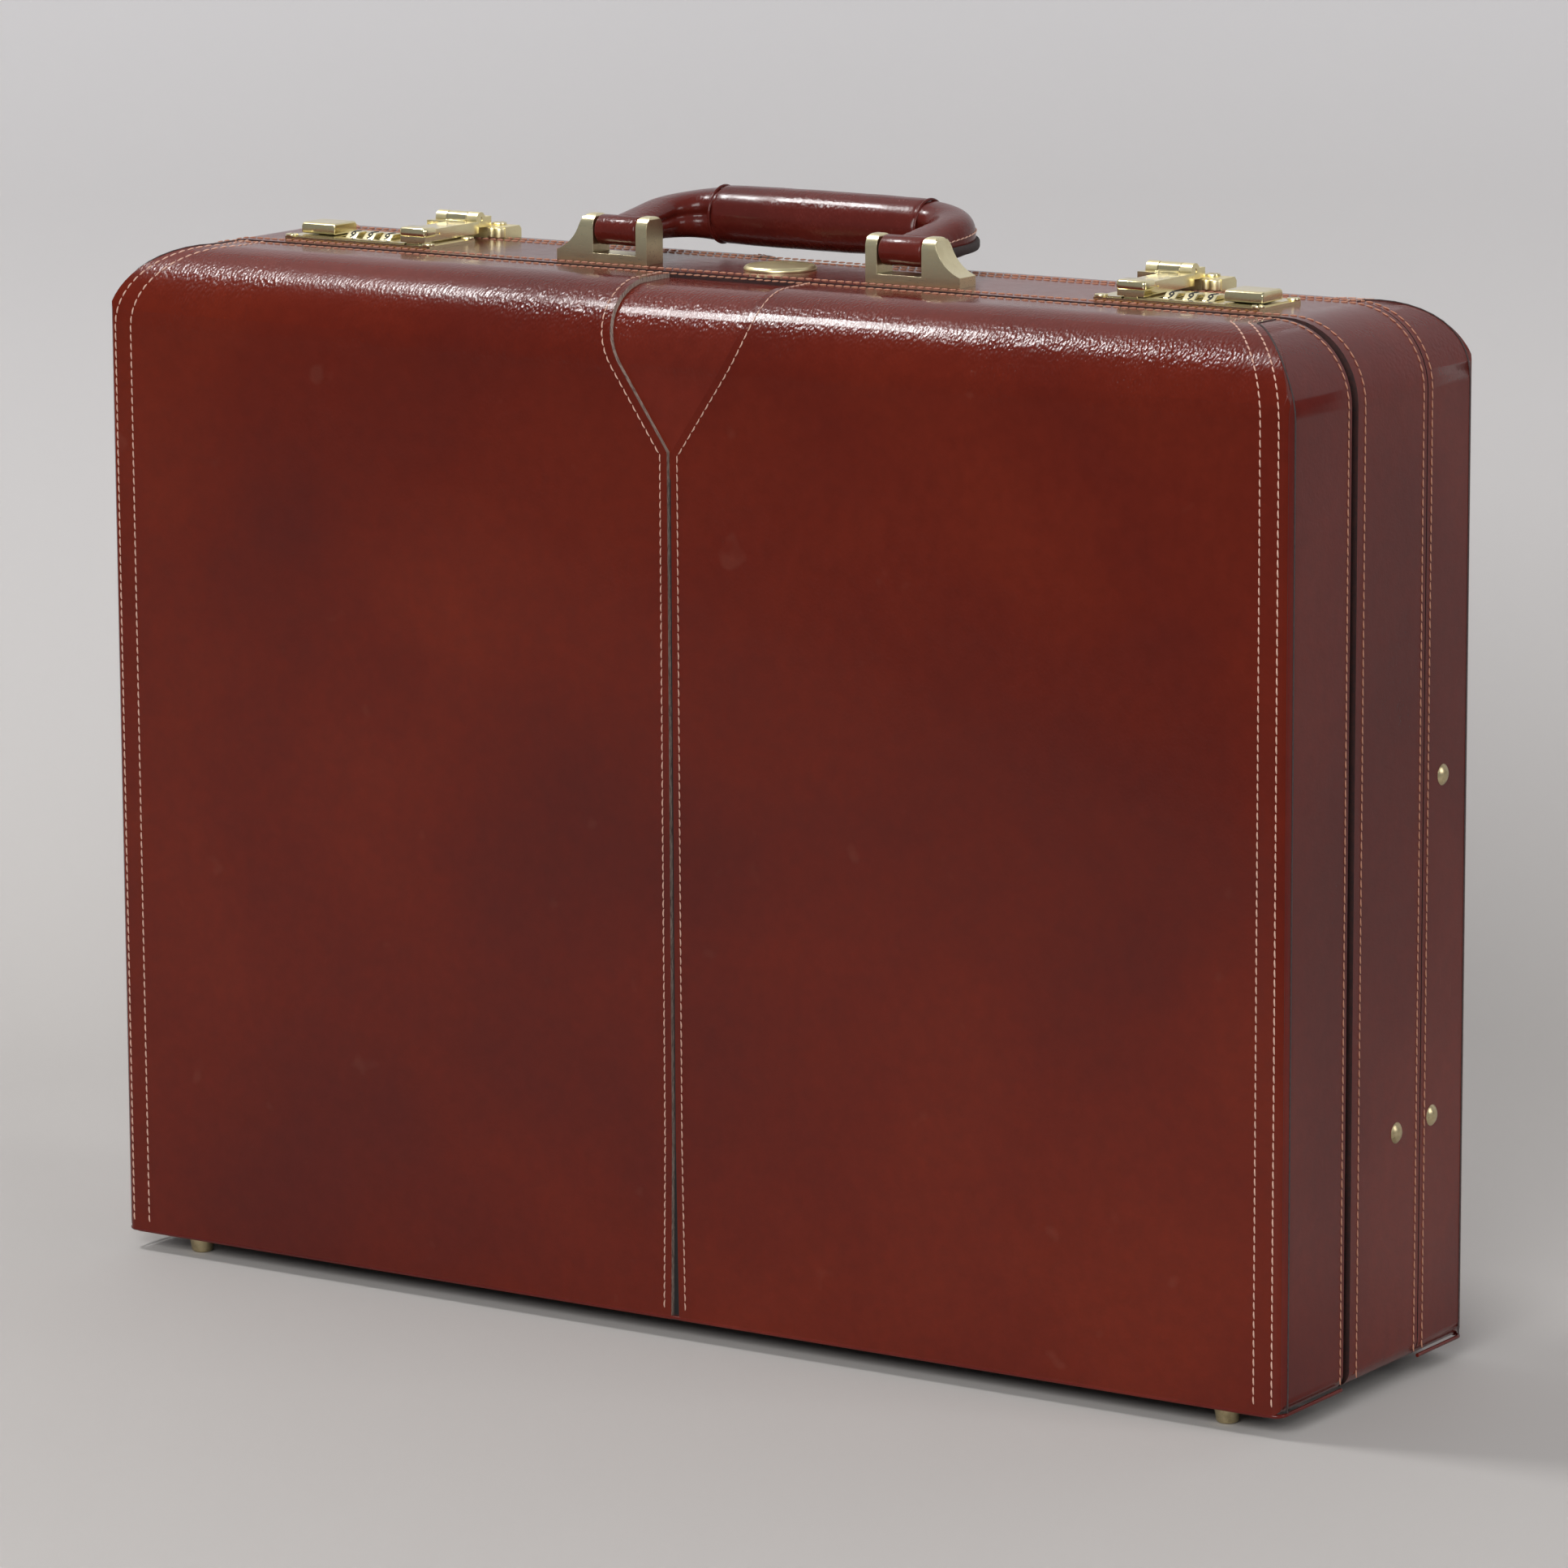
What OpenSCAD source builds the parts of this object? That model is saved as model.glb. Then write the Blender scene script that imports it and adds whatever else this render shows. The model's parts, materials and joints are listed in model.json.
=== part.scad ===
// Expanding leather attache case, standing upright on its four feet.
// X runs along the case, the front face looks to -Y and Z is up. Z = 0 is the
// floor, and the origin is the middle of the case's footprint.

/* [Case] */
// Length of the case over the leather
case_w = 457; // [436:1:520]
// Depth of the case over both faces
case_d = 120; // [112:1:150]
// Height of the case without its feet
case_h = 340; // [300:1:380]
// Radius of the two upper corners, seen from the front
corner_r = 26; // [20:1:34]
// Radius of the two lower corners, seen from the front
bottom_r = 6; // [3:0.5:10]
// Radius with which each face rolls over on to the top
roll_r = 26; // [22:1:30]
// Radius of the upright edges of the faces
edge_r = 4; // [2:0.5:5]

/* [Shells] */
// Depth of the front shell, from its face to the expansion groove
front_d = 39.5; // [36:0.5:46]
// Width of the expansion groove when the case isn't expanded
groove_w = 4; // [2:0.5:6]
// Depth of the lid, from its face to the opening seam
lid_d = 31.4; // [30:0.2:36]
// Gap of the opening seam
seam_gap = 0.6; // [0.4:0.1:1.2]
// Thickness of the leather
leather_t = 1.6; // [1.2:0.1:2]
// Thickness of the V panel and of the strip behind the centre seam
insert_t = 0.8; // [0.5:0.1:1.2]
// Thickness of the plywood of the front shell and the lid
ply_t = 5; // [4:0.2:6]
// Thickness of the lining
lining_t = 0.8; // [0.5:0.1:1]

/* [Expansion] */
// How far the front shell pulls out
expand_travel = 18; // [10:1:18]
// Running gap between the sleeve and the front shell
sleeve_gap = 0.4; // [0.3:0.05:0.6]
// Wall of the black sleeve
sleeve_t = 1.2; // [1:0.1:1.6]
// Diameter of the guide studs
stud_d = 4; // [3:0.5:5]

/* [Face panels] */
// Half width of the V panel across the top
v_half_w = 26; // [20:1:32]
// Height of the V panel, from the top of the case to its tip
v_drop = 53.5; // [45:0.5:62]
// Radius of the V panel's flanks
v_flank_r = 40; // [30:1:50]
// Width of the open centre seam
slit_w = 1.4; // [0.8:0.1:2.5]
// How much the seam opens towards the bottom
slit_flare = 1.6; // [0:0.1:3]
// Height above the bottom over which the seam opens
slit_flare_h = 60; // [40:5:100]
// Width of the strip behind the centre seam
strip_w = 16; // [10:1:24]

/* [Feet] */
// Height of the feet
foot_h = 6.5; // [5:0.5:10]
// Diameter of a foot at the case
foot_d = 10; // [8:0.5:13]
// Distance of the feet from the ends of the case
foot_inset_x = 25; // [20:1:45]
// Distance of the feet from the faces
foot_inset_y = 10; // [8:0.5:14]

/* [Locks] */
// Length of a lock plate
plate_l = 60.5; // [58:0.5:66]
// Width of a lock plate
plate_w = 26; // [25:0.5:28]
// Thickness of a lock plate
plate_t = 1.6; // [1.2:0.1:2]
// Distance from the end of the case to a lock plate's outer end
plate_inset = 38.5; // [30:0.5:46]
// Distance of the lock plate from the front edge of the middle band
plate_setback = 5.5; // [4:0.5:8]
// Distance between two dials
dial_pitch = 7.1; // [6.8:0.1:7.5]
// Width of a dial
dial_w = 6; // [5.5:0.1:6.2]
// Diameter of a dial over its corners
dial_d = 11; // [10:0.2:11.4]
// Travel of the slider
slide_travel = 4; // [2:0.5:4]

/* [Hasps] */
// Width of a hasp lever
lever_w = 10; // [8:0.5:11]
// Height of the hasp's pivot above the leather
pivot_h = 6.4; // [6:0.1:7.5]
// Diameter of the hasp's barrel
barrel_d = 5.2; // [4.6:0.2:5.6]
// Length of the hasp's barrel
barrel_l = 17; // [15:0.5:20]
// Distance from a lock plate's inner end to the middle of the hasp's bracket
hasp_inset = 10.5; // [8.5:0.5:11.5]

/* [Handle] */
// Distance between the middles of the two handle brackets
handle_pitch = 111.2; // [100:0.2:124]
// Distance from the pivot line to the middle of the grip
handle_reach = 38; // [34:0.5:42]
// Length of the padded grip
grip_l = 80; // [70:1:86]
// How much thinner the grip is at its ends than in the middle
grip_swell = 0.7; // [0:0.1:2]
// Diameter of the padded grip
grip_d = 21.5; // [16:0.5:22]
// Height of the pivot above the leather
handle_pivot_h = 10.5; // [9.5:0.5:12]
// Angle by which the folded handle stands up
handle_tilt = 4; // [3:0.5:8]
// Diameter of the handle's pivot bars
bar_d = 4; // [3:0.5:5]

/* [Medallion] */
// Diameter of the round medallion
medallion_d = 24; // [16:0.1:26]
// Height of the round medallion
medallion_h = 1.5; // [1:0.1:3]

/* [Lid stays and rivets] */
// Height of the stay rivets above the bottom of the case
stay_z = 77.5; // [60:0.5:100]
// Distance of the base's stay rivet from the opening seam
stay_y = 15.5; // [10:0.5:20]
// Distance of the lid's stay rivet from the opening seam
stay_lid_y = 7.8; // [7:0.1:10]
// Width of a stay link
link_w = 8; // [6:0.5:10]
// Thickness of a stay link
link_t = 1.5; // [1:0.1:1.8]
// Diameter of a rivet's dome
rivet_d = 7; // [5:0.5:9]

/* [Hinge] */
// Number of knuckles along the piano hinge
hinge_knuckles = 16; // [10:1:16]
// Diameter of the hinge's knuckles
knuckle_d = 4; // [3:0.5:5]
// Length of one knuckle
knuckle_pitch = 25; // [20:1:26]

/* [Hidden] */
$fn = 48;
eps = 0.01;

// Planes of the case
half_w = case_w / 2;
face_y = -case_d / 2;
case_top = foot_h + case_h;
front_mouth = face_y + front_d;
base_front = front_mouth + groove_w;
lid_mouth = case_d / 2 - lid_d;
base_rear = lid_mouth - seam_gap;
seam_y = (lid_mouth + base_rear) / 2;

// Depths of the layers below the outer surface
ply_in = leather_t + ply_t;
sleeve_out = ply_in + sleeve_gap;
sleeve_in = sleeve_out + sleeve_t;
lip_t = 1.2;
lip_in = sleeve_in + lip_t;

// Sleeve and lip along Y
lining_face_gap = 0.2;
sleeve_front = face_y + ply_in + lining_t + 2.8;
sleeve_rear = base_front + 4.5;
lip_reach = 4;
lip_cover = 10;
lip_front = base_rear - lip_cover;
lip_rear = base_rear + lip_reach;

// Guide studs
stud_y = front_mouth - 7.5;
stud_drop = 100;
stud_rise = 95;
stud_z = [case_top - stud_drop, foot_h + stud_rise];
stud_head_d = 9;
stud_head_t = 1.2;
slot_clear = 0.3;

// V panel
v_tip_z = case_top - v_drop;
v_flank_angle = 34.3;
insert_lap = 5;

// Locks: z is counted from the leather of the top. The dials and the slider are
// drawn on a plate of plate_drawn and move apart with a longer one
plate_drawn = 60.5;
plate_end = half_w - plate_inset;
plate_x = plate_end - plate_l;
plate_front = base_front + plate_setback;
plate_rear = plate_front + plate_w;
plate_step = 0.4;
plate_rim = 1.2;
case_wall = 0.8;
lock_in_x = plate_x + 4.5;
lock_out_x = plate_end - 3;
lock_front = plate_front + 0.4;
lock_rear = plate_rear - 2.4;
lock_depth = 8.8;
dial_y = plate_front + 11;
dial_z = -2;
dial_x = plate_x + 23.7 * plate_l / plate_drawn;
axle_d = 2.4;
run_gap = 0.05;
slider_x = plate_x + 44.1 * plate_l / plate_drawn;
slider_l = 14;
slider_w = 13;
slider_h = 3.7;
slider_gap = 0.3;
shank_x = slider_x + 2.4;
shank_gap = 0.2;
shank_l = lock_out_x - case_wall - slide_travel - shank_gap - shank_x;
shank_w = 7;
shank_y = plate_front + 9;
bolt_top = -0.5;
bolt_t = 2;
bolt_w = 2.2;
bolt_y = lock_front + case_wall + 0.4;
bolt_gap = 0.6;
bolt_lap = 1.6;

// Hasps
hasp_x = plate_x + hasp_inset;
barrel_off = -3;
lever_off = 2;
pivot_y = seam_y - 2.8;
lever_front = plate_front + 2;
lever_z0 = plate_t + 0.5;
lever_z1 = pivot_h - 0.2;
tab_w = 5;
tab_t = 1.8;
tab_deep = -1.2;
knuckle_mid = 8;
knuckle_gap = 0.2;
hasp_pin_d = 2;
bracket_l = 35;
bracket_w = 9.5;
bracket_h = 4;

// Handle
arm_w = 14;
arm_t = 12;
bend_w = 15;
bend_t = 16;
arm_bend_r = 16.2;
loop_d = 10;
window_w = 17;
upright_t = 4.4;
fin_l = 10.2;
hbracket_h = 15.8;
hbracket_w = 9.6;
hbracket_y = base_front + 7.2;
hbracket_r = 4.2;
hbracket_base = 3;
handle_y = hbracket_y + hbracket_w / 2;

rivet_head_d = 7;
rivet_head_t = 0.8;

// Hinge
hinge_l = hinge_knuckles * knuckle_pitch;
hinge_z = foot_h;
leaf_t = 0.8;
leaf_w = 14;
leaf_z = hinge_z + leather_t;

// Lid stays: four equal sides round the hinge line
anchor_a = [seam_y - stay_y, foot_h + stay_z];
link_len = norm([anchor_a[0] - seam_y, anchor_a[1] - hinge_z]);
anchor_b = [seam_y + stay_lid_y, hinge_z + sqrt(link_len * link_len - stay_lid_y * stay_lid_y)];
elbow = anchor_a + anchor_b - [seam_y, hinge_z];
link_gap = 0.2;
link1_out = half_w - lip_in - link_gap;
link2_out = link1_out - link_t - link_gap;
stay_pin_d = 3;
shoulder_d = 5.2;
elbow_clear = 0.3;
rivet_h = 1.5;
pocket_t = 1.2;
panel_t = 1.6;
pocket_rivet_y = 12.4;
pocket_rivet_z = 189;
pocket_rivet = [lid_mouth + pocket_rivet_y, foot_h + pocket_rivet_z];
tab_h = 20;
pocket_step = 4;
pocket_gap = 6;
pocket_drop_1 = 55;
pocket_drop_2 = 140;
pocket_drop_3 = 120;

brass = [0.82, 0.70, 0.42];
old_brass = [0.55, 0.45, 0.28];
leather = [0.40, 0.13, 0.08];
light_leather = [0.48, 0.17, 0.10];
dark_leather = [0.33, 0.10, 0.07];
plywood = [0.76, 0.60, 0.40];
cloth = [0.30, 0.22, 0.16];
black = [0.04, 0.04, 0.04];

// Slabs: an outline of (x, z) run along Y, and an outline of (y, z) run along X
module along_y(y0, y1) {
    translate([0, y1, 0]) rotate([90, 0, 0]) linear_extrude(y1 - y0) children();
}

module along_x(x0, x1) {
    translate([x0, 0, 0]) rotate([90, 0, 90]) linear_extrude(x1 - x0) children();
}

// A rod along X
module rod_x(x0, x1, y, z, d) {
    translate([x0, y, z]) rotate([0, 90, 0]) cylinder(d = d, h = x1 - x0);
}

// A box between two distances from the middle of the case, on the side s
module side_box(s, x0, x1, y0, y1, z0, z1) {
    translate([s > 0 ? x0 : -x1, y0, z0]) cube([x1 - x0, y1 - y0, z1 - z0]);
}

// The right side as drawn, the left side mirrored
module on_side(s) {
    if (s > 0) children();
    else mirror([1, 0, 0]) children();
}

// The case seen from the front, drawn in by off
module case_outline(off) {
    w = case_w - 2 * off;
    rt = max(corner_r - off, 0.6);
    rb = max(bottom_r - off, 0.6);
    z0 = foot_h + off;
    z1 = case_top - off;
    for (s = [-1, 1]) {
        translate([s * (w / 2 - rt), z1 - rt]) circle(rt);
        translate([s * (w / 2 - rb), z0 + rb]) circle(rb);
    }
    translate([-w / 2, z0 + rb]) square([w, z1 - rt - z0 - rb]);
    translate([-w / 2 + rt, z0 + rb]) square([w - 2 * rt, z1 - z0 - rb]);
    translate([-w / 2 + rb, z0]) square([w - 2 * rb, z1 - rt - z0]);
}

module case_ring(off, off_in) {
    difference() {
        case_outline(off);
        case_outline(off_in);
    }
}

// The case seen from the side: the face, its roll over the top, and all behind it
module side_outline(off) {
    r = roll_r - off;
    y0 = face_y + off;
    z1 = case_top - off;
    translate([y0, foot_h - 1]) square([case_d, z1 - r - foot_h + 1]);
    translate([y0 + r, foot_h - 1]) square([case_d - r, z1 - foot_h + 1]);
    translate([y0 + r, z1 - r]) circle(r);
}

// A layer that lies on the face and rolls over the top
module face_layer(off, off_in, x) {
    along_x(-x, x) difference() {
        side_outline(off);
        side_outline(off_in);
    }
}

// Everything within the rounded upright edges of the face
module upright_edges() {
    translate([0, 0, -1]) linear_extrude(case_top + 2) {
        for (s = [-1, 1])
            translate([s * (half_w - edge_r), face_y + edge_r]) circle(edge_r);
        translate([-half_w, face_y + edge_r]) square([case_w, case_d]);
        translate([-half_w + edge_r, face_y]) square([case_w - 2 * edge_r, case_d]);
    }
}

// The V panel's outline: straight from its tip, then an arc that ends upright
function flank(b, grow) = [for (i = [0:8])
    let (a = v_flank_angle * (1 - i / 8))
    [b - v_flank_r + v_flank_r * cos(a),
     v_tip_z - 1.7 * grow + (b - v_flank_r + v_flank_r * cos(v_flank_angle)) / tan(v_flank_angle)
     + v_flank_r * (sin(v_flank_angle) - sin(a))]];

module v_outline(grow) {
    b = v_half_w + grow;
    right = flank(b, grow);
    left = [for (i = [8:-1:0]) [-right[i][0], right[i][1]]];
    polygon(concat([[0, v_tip_z - 1.7 * grow]], right,
        [[b, case_top + 1], [-b, case_top + 1]], left));
}

// Pieces that the front shell and the lid share, drawn for the front shell
module shell_block(off, mouth) {
    intersection() {
        along_y(face_y - 1, mouth) case_outline(off);
        along_x(-half_w - 1, half_w + 1) side_outline(off);
    }
}

module inserts_outline() {
    v_outline(insert_lap);
    strip_outline();
}

module strip_outline() {
    translate([-strip_w / 2, foot_h + leather_t])
        square([strip_w, v_tip_z - foot_h - leather_t]);
}

module shell_frame(mouth) {
    difference() {
        shell_block(leather_t, mouth);
        shell_block(ply_in, mouth + 1);
        intersection() {
            along_y(face_y - 1, mouth + 1) inserts_outline();
            face_layer(leather_t - eps, leather_t + insert_t, v_half_w + 2 * insert_lap);
        }
        foot_studs();
    }
}

module shell_side_leather(mouth) {
    difference() {
        intersection() {
            along_y(face_y, mouth) difference() {
                case_ring(0, leather_t);
                translate([-half_w + corner_r, case_top - leather_t - 1])
                    square([case_w - 2 * corner_r, 2 * leather_t]);
            }
            along_x(-half_w - 1, half_w + 1) side_outline(leather_t);
            upright_edges();
        }
        foot_studs();
    }
}

// One half of the face leather, on the side s of the centre seam
module shell_face_half(s, mouth) {
    intersection() {
        along_y(face_y - 1, mouth) difference() {
            intersection() {
                case_outline(0);
                polygon([[s * half_w, 0], [s * (slit_w + slit_flare) / 2, 0],
                    [s * (slit_w + slit_flare) / 2, foot_h], [s * slit_w / 2, foot_h + slit_flare_h],
                    [s * slit_w / 2, case_top], [s * half_w, case_top]]);
            }
            v_outline(0);
        }
        face_layer(0, leather_t, half_w + 1);
        upright_edges();
    }
}

module shell_v_panel(mouth) {
    intersection() {
        along_y(face_y - 1, mouth) v_outline(insert_lap);
        face_layer(leather_t, leather_t + insert_t, v_half_w + 2 * insert_lap);
    }
}

module shell_seam_strip(mouth) {
    intersection() {
        along_y(face_y - 1, mouth) difference() {
            strip_outline();
            v_outline(insert_lap);
        }
        face_layer(leather_t, leather_t + insert_t, strip_w);
    }
}

module shell_lining(mouth) {
    difference() {
        shell_block(ply_in, mouth);
        shell_block(ply_in + lining_t, mouth + 1);
    }
}

module foot_places() {
    for (s = [-1, 1])
        translate([s * (half_w - foot_inset_x), face_y + foot_inset_y, 0]) children();
}

module foot_studs() {
    foot_places() translate([0, 0, foot_h - eps]) cylinder(d = 3, h = 4);
}

module shell_feet() {
    foot_places() {
        rotate_extrude() polygon([[0, 0], [foot_d / 2 - 2.2, 0], [foot_d / 2 - 1.4, 0.6],
            [foot_d / 2 - 0.6, foot_h - 1.4], [foot_d / 2, foot_h - 1.2],
            [foot_d / 2, foot_h], [0, foot_h]]);
        translate([0, 0, foot_h - eps]) cylinder(d = 3, h = 4);
    }
}

// Front shell
module front_frame() {
    color(plywood) difference() {
        shell_frame(front_mouth);
        stud_shanks();
    }
}

module front_side_leather() {
    color(leather) shell_side_leather(front_mouth);
}

module front_face_left() {
    color(leather) shell_face_half(-1, front_mouth);
}

module front_face_right() {
    color(leather) shell_face_half(1, front_mouth);
}

module front_v_panel() {
    color(light_leather) shell_v_panel(front_mouth);
}

module front_seam_strip() {
    color(black) shell_seam_strip(front_mouth);
}

module front_lining() {
    color(cloth) shell_lining(sleeve_front - lining_face_gap);
}

module front_feet() {
    color(old_brass) shell_feet();
}

module stud_places() {
    for (s = [-1, 1], z = stud_z)
        on_side(s) translate([0, stud_y, z]) children();
}

module stud_shanks() {
    stud_places() rod_x(half_w - sleeve_in - slot_clear, half_w - leather_t - 1.2, 0, 0, stud_d);
}

module expansion_studs() {
    head_x = half_w - sleeve_in - slot_clear;
    color(old_brass) {
        stud_shanks();
        stud_places() rod_x(head_x - stud_head_t, head_x + eps, 0, 0, stud_head_d);
    }
}

// Middle band, which is the base that everything hangs on
module base_frame() {
    color(plywood) difference() {
        along_y(base_front, base_rear) case_ring(leather_t, sleeve_out);
        base_cuts();
    }
}

module base_leather() {
    color(leather) difference() {
        along_y(base_front, base_rear) case_ring(0, leather_t);
        base_cuts();
    }
}

module base_lining() {
    color(cloth) difference() {
        along_y(sleeve_rear, base_rear) case_ring(sleeve_out, sleeve_in);
        for (s = [-1, 1]) lock_pocket(s);
        handle_rivet_places() translate([0, 0, -sleeve_in - 1]) cylinder(d = rivet_head_d + 0.4, h = 3);
        stay_places(anchor_a) rod_x(half_w - sleeve_in - 1, half_w, 0, 0, stay_pin_d);
    }
}

module base_lip() {
    color(dark_leather) difference() {
        along_y(lip_front, lip_rear) case_ring(sleeve_in, lip_in);
        for (s = [-1, 1]) lock_pocket(s);
        stay_places(anchor_a) rod_x(half_w - lip_in - 1, half_w, 0, 0, shoulder_d + 0.4);
    }
}

// Everything that is let into the middle band
module base_cuts() {
    for (s = [-1, 1]) lock_pocket(s);
    lock_screw_shanks();
    handle_rivet_shanks();
    stay_places(anchor_a) rod_x(half_w - sleeve_in, half_w + 1, 0, 0, stay_pin_d);
    hinge_cut();
}

// Sleeve that closes the groove, with slots for the guide studs
module expansion_sleeve() {
    color(black) difference() {
        intersection() {
            along_y(sleeve_front, sleeve_rear) case_ring(sleeve_out, sleeve_in);
            along_x(-half_w, half_w) side_outline(sleeve_out);
        }
        for (z = stud_z) along_x(-half_w, half_w) {
            d = stud_d + 2 * slot_clear;
            for (y = [stud_y - expand_travel, stud_y]) translate([y, z]) circle(d = d);
            translate([stud_y - expand_travel, z - d / 2]) square([expand_travel, d]);
        }
    }
}

// Locks, drawn for the right side with z counted from the leather
function lever_mid(s) = s * hasp_x + lever_off;

module lock_pocket(s) {
    side_box(s, lock_in_x, lock_out_x, lock_front, lock_rear, case_top - lock_depth, case_top + 1);
}

module lock_case(s) {
    color(old_brass) translate([0, 0, case_top]) {
        difference() {
            side_box(s, lock_in_x, lock_out_x, lock_front, lock_rear, -lock_depth, 0);
            side_box(s, lock_in_x + case_wall, lock_out_x - case_wall, lock_front + case_wall,
                lock_rear - case_wall, -lock_depth + case_wall, 1);
        }
        post0 = dial_x - dial_w / 2 - 1.4;
        post1 = dial_x + 2 * dial_pitch + dial_w / 2 + 0.6;
        for (x = [post0, post1])
            side_box(s, x, x + case_wall, dial_y - 3, dial_y + 3, -lock_depth + case_wall / 2, -0.6);
        on_side(s) rod_x(post0, post1 + case_wall, dial_y, dial_z, axle_d);
    }
}

module lock_plate(s) {
    color(brass) translate([0, 0, case_top]) difference() {
        union() {
            side_box(s, plate_x, plate_end, plate_front, plate_rear, 0, plate_t - plate_step);
            side_box(s, plate_x + plate_rim, plate_end - plate_rim, plate_front + plate_rim,
                plate_rear - plate_rim, 0, plate_t);
        }
        for (i = [0:2]) {
            x = dial_x + i * dial_pitch;
            side_box(s, x - dial_w / 2 - 0.25, x + dial_w / 2 + 0.25,
                dial_y - dial_d / 2 - 0.3, dial_y + dial_d / 2 + 0.3, -1, plate_t + 1);
        }
        side_box(s, shank_x - 0.3, shank_x + shank_l + slide_travel + 0.3,
            shank_y - 0.3, shank_y + shank_w + 0.3, -1, plate_t + 1);
        translate([lever_mid(s) - tab_w / 2 - 0.5, lever_front - 0.8, -1])
            cube([tab_w + 1, plate_w, plate_t + 2]);
        translate([0, 0, -case_top]) lock_screw_bodies();
    }
}

module lock_screw_places() {
    for (s = [-1, 1], x = [plate_x + 1.8, plate_end - 1.6], y = [plate_front + 1.8, plate_rear - 1.8])
        translate([s * x, y, case_top]) children();
}

module lock_screw_shanks() {
    lock_screw_places() translate([0, 0, -5]) cylinder(d = 1.6, h = 5 + plate_t);
}

module lock_screw_bodies() {
    lock_screw_shanks();
    lock_screw_places() translate([0, 0, plate_t - plate_step]) cylinder(d = 2.6, h = 0.8);
}

module lock_screws() {
    color(brass) lock_screw_bodies();
}

module slider(s) {
    bolt_end = abs(lever_mid(s)) + (tab_w / 2 + bolt_gap);
    color(brass) translate([0, 0, case_top]) {
        on_side(s) along_x(slider_x, slider_x + slider_l) {
            z0 = plate_t + slider_gap;
            y0 = shank_y + shank_w / 2 - slider_w / 2;
            polygon([[y0, z0], [y0 + slider_w, z0], [y0 + slider_w, z0 + slider_h - 1],
                [y0 + slider_w - 1, z0 + slider_h], [y0 + 1, z0 + slider_h], [y0, z0 + slider_h - 1]]);
        }
        side_box(s, shank_x, shank_x + shank_l, shank_y, shank_y + shank_w,
            bolt_top - bolt_t / 2, plate_t + slider_gap + 1);
        side_box(s, shank_x - bolt_lap, shank_x + shank_l, bolt_y, shank_y + shank_w,
            bolt_top - bolt_t, bolt_top);
        side_box(s, bolt_end, shank_x, bolt_y, bolt_y + bolt_w, bolt_top - bolt_t, bolt_top);
    }
}

// Dial with ten flats, one of them on top
module dial(s, i) {
    x = s * (dial_x + i * dial_pitch);
    color(brass) translate([x - dial_w / 2, dial_y, case_top + dial_z]) rotate([0, 90, 0])
        difference() {
            rotate([0, 0, 18]) cylinder(d = dial_d, h = dial_w, $fn = 10);
            translate([0, 0, -1]) cylinder(d = axle_d + 2 * run_gap, h = dial_w + 2);
        }
}

// Handle
module handle_bracket(s) {
    u0 = handle_pitch / 2 - window_w / 2 - upright_t;
    u3 = handle_pitch / 2 + window_w / 2 + upright_t;
    fin_r = 14.5;
    color(brass) on_side(s) difference() {
        translate([0, 0, case_top]) intersection() {
            along_y(hbracket_y, hbracket_y + hbracket_w) {
                translate([u0, 0]) square([u3 + fin_l - u0, hbracket_base]);
                for (u = [u0, u3 - upright_t]) {
                    translate([u, 0]) square([upright_t, hbracket_h - 1.2]);
                    translate([u + 1.2, 0]) square([upright_t - 2.4, hbracket_h]);
                    for (v = [1.2, upright_t - 1.2])
                        translate([u + v, hbracket_h - 1.2]) circle(1.2);
                }
                difference() {
                    translate([u3 - 1, 0]) square([fin_l + 1, hbracket_h - 1]);
                    translate([u3 + fin_r + 0.3, hbracket_h + 1.5]) circle(fin_r);
                }
            }
            along_x(u0 - 1, u3 + fin_l + 1) hbracket_side();
        }
        handle_bar();
        handle_rivet_shanks();
    }
}

module hbracket_side() {
    translate([hbracket_y, -1]) square([hbracket_w, hbracket_h - hbracket_r + 1]);
    translate([hbracket_y + hbracket_r, 0]) square([hbracket_w - 2 * hbracket_r, hbracket_h]);
    for (y = [hbracket_r, hbracket_w - hbracket_r])
        translate([hbracket_y + y, hbracket_h - hbracket_r]) circle(hbracket_r);
}

module handle_bar() {
    reach = window_w / 2 + upright_t - 1;
    rod_x(handle_pitch / 2 - reach, handle_pitch / 2 + reach, handle_y,
        case_top + handle_pivot_h, bar_d);
}

module handle_bars() {
    color(brass) for (s = [-1, 1]) on_side(s) handle_bar();
}

module handle_rivet_places() {
    for (s = [-1, 1], u = [-window_w / 2 - upright_t / 2, window_w / 2 + upright_t + 3])
        translate([s * (handle_pitch / 2 + u), handle_y, case_top]) children();
}

module handle_rivet_shanks() {
    handle_rivet_places() translate([0, 0, -sleeve_out - rivet_head_t / 2])
        cylinder(d = 3, h = sleeve_out + rivet_head_t / 2 + 2);
}

module handle_rivets() {
    color(old_brass) {
        handle_rivet_shanks();
        handle_rivet_places() translate([0, 0, -sleeve_out - rivet_head_t])
            cylinder(d = rivet_head_d, h = rivet_head_t);
    }
}

module folded() {
    translate([0, handle_y, case_top + handle_pivot_h]) rotate([handle_tilt, 0, 0]) children();
}

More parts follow.
